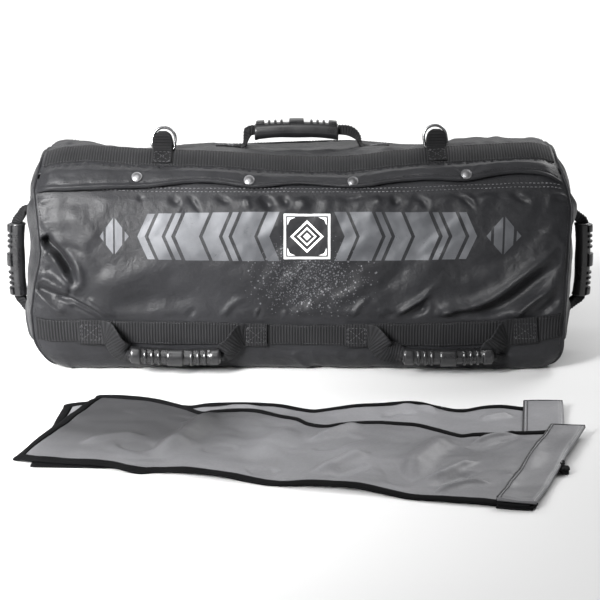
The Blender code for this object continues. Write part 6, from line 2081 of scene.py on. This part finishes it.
    # hook and loop tape in layers along the cuff's near edge
    made = []
    for q, (a0, a1, d0, d1, z0) in enumerate(((0.0, 0.95, -0.0034, 0.012, 0.0002), (0.05, 1.0, -0.0018, 0.012, 0.0023), (0.0, 0.86, -0.0026, 0.012, 0.0044)) if tag == "upper" else ()):
        i0, i1 = int(a0 * (nc - 1)), int(a1 * (nc - 1))
        base_ = lowc[i0:i1 + 1]
        inner, outer = base_[:, 20], base_[:, 0]
        dirv = outer - inner
        dirv[:, 2] = 0
        dirv /= np.linalg.norm(dirv, axis=1)[:, None]
        rows_t, rows_l = [], []
        for d in (d1, d1 * 0.5, 0.002, d0):
            pt = outer - dirv * d
            zz = z0 + 0.0004 * noise2(np.arange(len(pt)) / 6.0, q * 3.1 + d * 40, 19)
            pt[:, 2] = np.maximum(zz, 0.0002)
            rows_t.append(pt + np.array([0, 0, 0.0018]))
            rows_l.append(pt)
        rows = np.array(rows_t + rows_l[::-1]).transpose(1, 0, 2)
        made.append(tube("hook", rows, HOOK))
    # the end of the fastening tab, under the cuff's open end
    if tag == "lower":
        g0 = lowc[-1, 0]
        o_ = g0 + np.array([-0.003, 0.004, 0.003])
        for q, (dx, dy, dz, wx, wy, hz) in enumerate(((0, 0, 0, 0.013, 0.022, 0.0032), (0.002, -0.004, 0.0034, 0.010, 0.015, 0.0030), (-0.002, 0.005, 0.0060, 0.009, 0.012, 0.0026))):
            n_, m_ = 14, 14
            aa, bb_ = np.meshgrid(np.linspace(-1, 1, n_), np.linspace(-1, 1, m_), indexing="ij")
            rr = 1 - 0.12 * (np.abs(aa * bb_)) ** 2
            zz = 0.0010 * noise2(aa * 1.6 + q, bb_ * 1.4, 44 + q) + 0.0012 * aa * (q - 1)
            tp = np.stack([o_[0] + dx + aa * rr * wx / 2, o_[1] + dy + bb_ * rr * wy / 2, np.maximum(o_[2] + dz + zz + hz / 2 * (1 - 0.5 * np.maximum(np.abs(aa), np.abs(bb_)) ** 8), 0.0012)], -1)
            lw_ = tp.copy()
            lw_[..., 2] = np.maximum(tp[..., 2] - hz * (0.4 + 0.6 * (1 - np.maximum(np.abs(aa), np.abs(bb_)) ** 8)), 0.0002)
            made.append(tube("hook", np.concatenate([tp, lw_[:, ::-1]], 1), HOOK))
    hook = join("sleeve_%s_hook" % tag, made)
    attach(hook, body)
    return top, topc


def low_stack(u, v):
    return 0.0002 + 0 * u * v


def up_stack(u, v):
    """The upper sleeve lies on the lower one, and on the floor past its left end and near edge."""
    over = smooth(0.02, 0.12, u) * (1 - smooth(0.55, 0.20, v) * smooth(0.10, 0.85, u) * 0.75)
    return 0.0006 + 0.0050 * over


low_creases = [
    (((214, 412), (240, 406), (262, 408)), 0.010, 0.0018, "ridge"),
    (((392, 408), (420, 405), (440, 412)), 0.009, 0.0022, "ridge"),
    (((478, 418), (500, 413), (516, 412)), 0.008, 0.0022, "ridge"),
    (((380, 416), (400, 411), (420, 414)), 0.008, -0.0018, "ridge"),
]
low_tops = sleeve("lower", LOW_NEAR, LOW_FAR, LOW_NEAR_C, LOW_FAR_C, low_creases, 201, TARP_BACK, low_stack, 0.2680, 0.5860)
up_creases = [
    (((160, 459), (176, 446), (196, 431), (213, 414)), 0.019, 0.0070, "ridge"),
    (((122, 449), (140, 446), (160, 449)), 0.013, -0.0045, "ridge"),
    (((78, 444), (110, 438), (150, 437)), 0.012, 0.0026, "ridge"),
    (((140, 420), (165, 426), (186, 424)), 0.013, -0.0034, "ridge"),
    (((98, 414), (112, 417), (128, 412)), 0.013, -0.0036, "ridge"),
    (((168, 418), (180, 421), (188, 418)), 0.008, -0.0024, "ridge"),
    (((205, 452), (222, 448), (238, 450)), 0.010, -0.0030, "ridge"),
    (((240, 458), (258, 452), (276, 440), (300, 428)), 0.018, 0.0030, "ridge"),
    (((252, 471), (266, 468), (280, 468)), 0.010, -0.0036, "ridge"),
    (((304, 441), (322, 437), (346, 430), (362, 424)), 0.012, 0.0034, "ridge"),
    (((312, 452), (334, 446), (352, 436)), 0.010, -0.0028, "ridge"),
    (((308, 472), (328, 466), (350, 458), (372, 452)), 0.011, 0.0044, "ridge"),
    (((330, 476), (352, 468), (372, 462)), 0.009, -0.0036, "ridge"),
    (((336, 441), (350, 441), (362, 438)), 0.007, -0.0022, "ridge"),
    (((402, 478), (418, 462), (436, 448), (454, 436)), 0.015, 0.0052, "ridge"),
    (((386, 458), (398, 470), (404, 484)), 0.016, -0.0040, "ridge"),
    (((470, 446), (490, 440), (512, 437), (530, 432)), 0.0075, 0.0038, "crest"),
    (((462, 447), (484, 449), (506, 443), (522, 440)), 0.0070, -0.0032, "ridge"),
    (((420, 478), (440, 474), (462, 466), (482, 462)), 0.0080, 0.0034, "ridge"),
    (((430, 490), (452, 484), (474, 480), (496, 482)), 0.0075, 0.0034, "crest"),
    (((426, 484), (446, 480), (468, 473), (486, 472)), 0.0070, -0.0028, "ridge"),
    (((505, 470), (512, 478), (510, 490)), 0.0090, 0.0016, "ridge"),
    (((530, 440), (536, 455), (528, 472)), 0.0120, 0.0016, "ridge"),
]
sleeve("upper", UP_NEAR, UP_FAR, UP_NEAR_C, UP_FAR_C, up_creases, 231, TARP, up_stack, 0.2860, 0.5840, Rest(low_tops))

# ============================================================== floor and light
k = Look("studio_floor", 0.9, Specular_IOR_Level=0.0)
sep = k.tree.nodes.new("ShaderNodeSeparateXYZ")
k.tree.links.new(k.obj, sep.inputs[0])
far_ = k.node("ShaderNodeMapRange", props={"interpolation_type": "SMOOTHSTEP"}, Value=sep.outputs[1], i1=0.1, i2=2.2, i3=0.0, i4=1.0)
# painted shade: the floor is painted darker (0.60) around the bag than further off (0.94), holding back the bright pool
# of lamp light there
near_ = k.node("ShaderNodeMapRange", props={"interpolation_type": "SMOOTHSTEP"}, Value=sep.outputs[1], i1=-0.45, i2=-1.30, i3=0.0, i4=1.0)
pale = k.mix(near_, k.ramp(k.noise(1.3, 2.0), [(0.0, (0.60, 0.60, 0.60)), (1.0, (0.63, 0.63, 0.63))]), (0.94, 0.94, 0.94))
k.set(Base_Color=k.mix(far_, pale, (0.95, 0.95, 0.95)))
floor = make("studio_floor", [(-40, -12, -0.0004), (40, -12, -0.0004), (40, 60, -0.0004), (-40, 60, -0.0004)], [(0, 1, 2, 3)], k.mat)

world_ = bpy.data.worlds.new("studio")
scene.world = world_
world_.use_nodes = True
bg = world_.node_tree.nodes["Background"]
bg.inputs["Color"].default_value = (1.0, 1.0, 1.0, 1.0)
bg.inputs["Strength"].default_value = 0.23


def area(name, at, towards, size, size_y, power, spread=180.0):
    light = bpy.data.lights.new(name, "AREA")
    light.shape = "RECTANGLE"
    light.size, light.size_y, light.energy, light.spread = size, size_y, power, math.radians(spread)
    ob_ = bpy.data.objects.new(name, light)
    scene.collection.objects.link(ob_)
    ob_.location = at
    ob_.rotation_euler = (Vector(towards) - Vector(at)).to_track_quat("-Z", "Y").to_euler()
    return ob_


area("key_left", (-1.50, -1.90, 1.15), (-0.66, -0.18, 0.14), 1.05, 0.95, 27.0, 46.0)
area("fill_right", (1.6, 1.0, 1.7), (0.80, -0.40, 0.0), 1.2, 1.2, 10.0, 90.0)
area("top_left", (-0.45, -0.95, 1.9), (-0.28, -0.20, 0.05), 1.1, 0.8, 2.4, 80.0)
area("backdrop", (0.0, 4.4, 3.4), (0.0, 4.4, 0.0), 9.0, 6.2, 330.0)
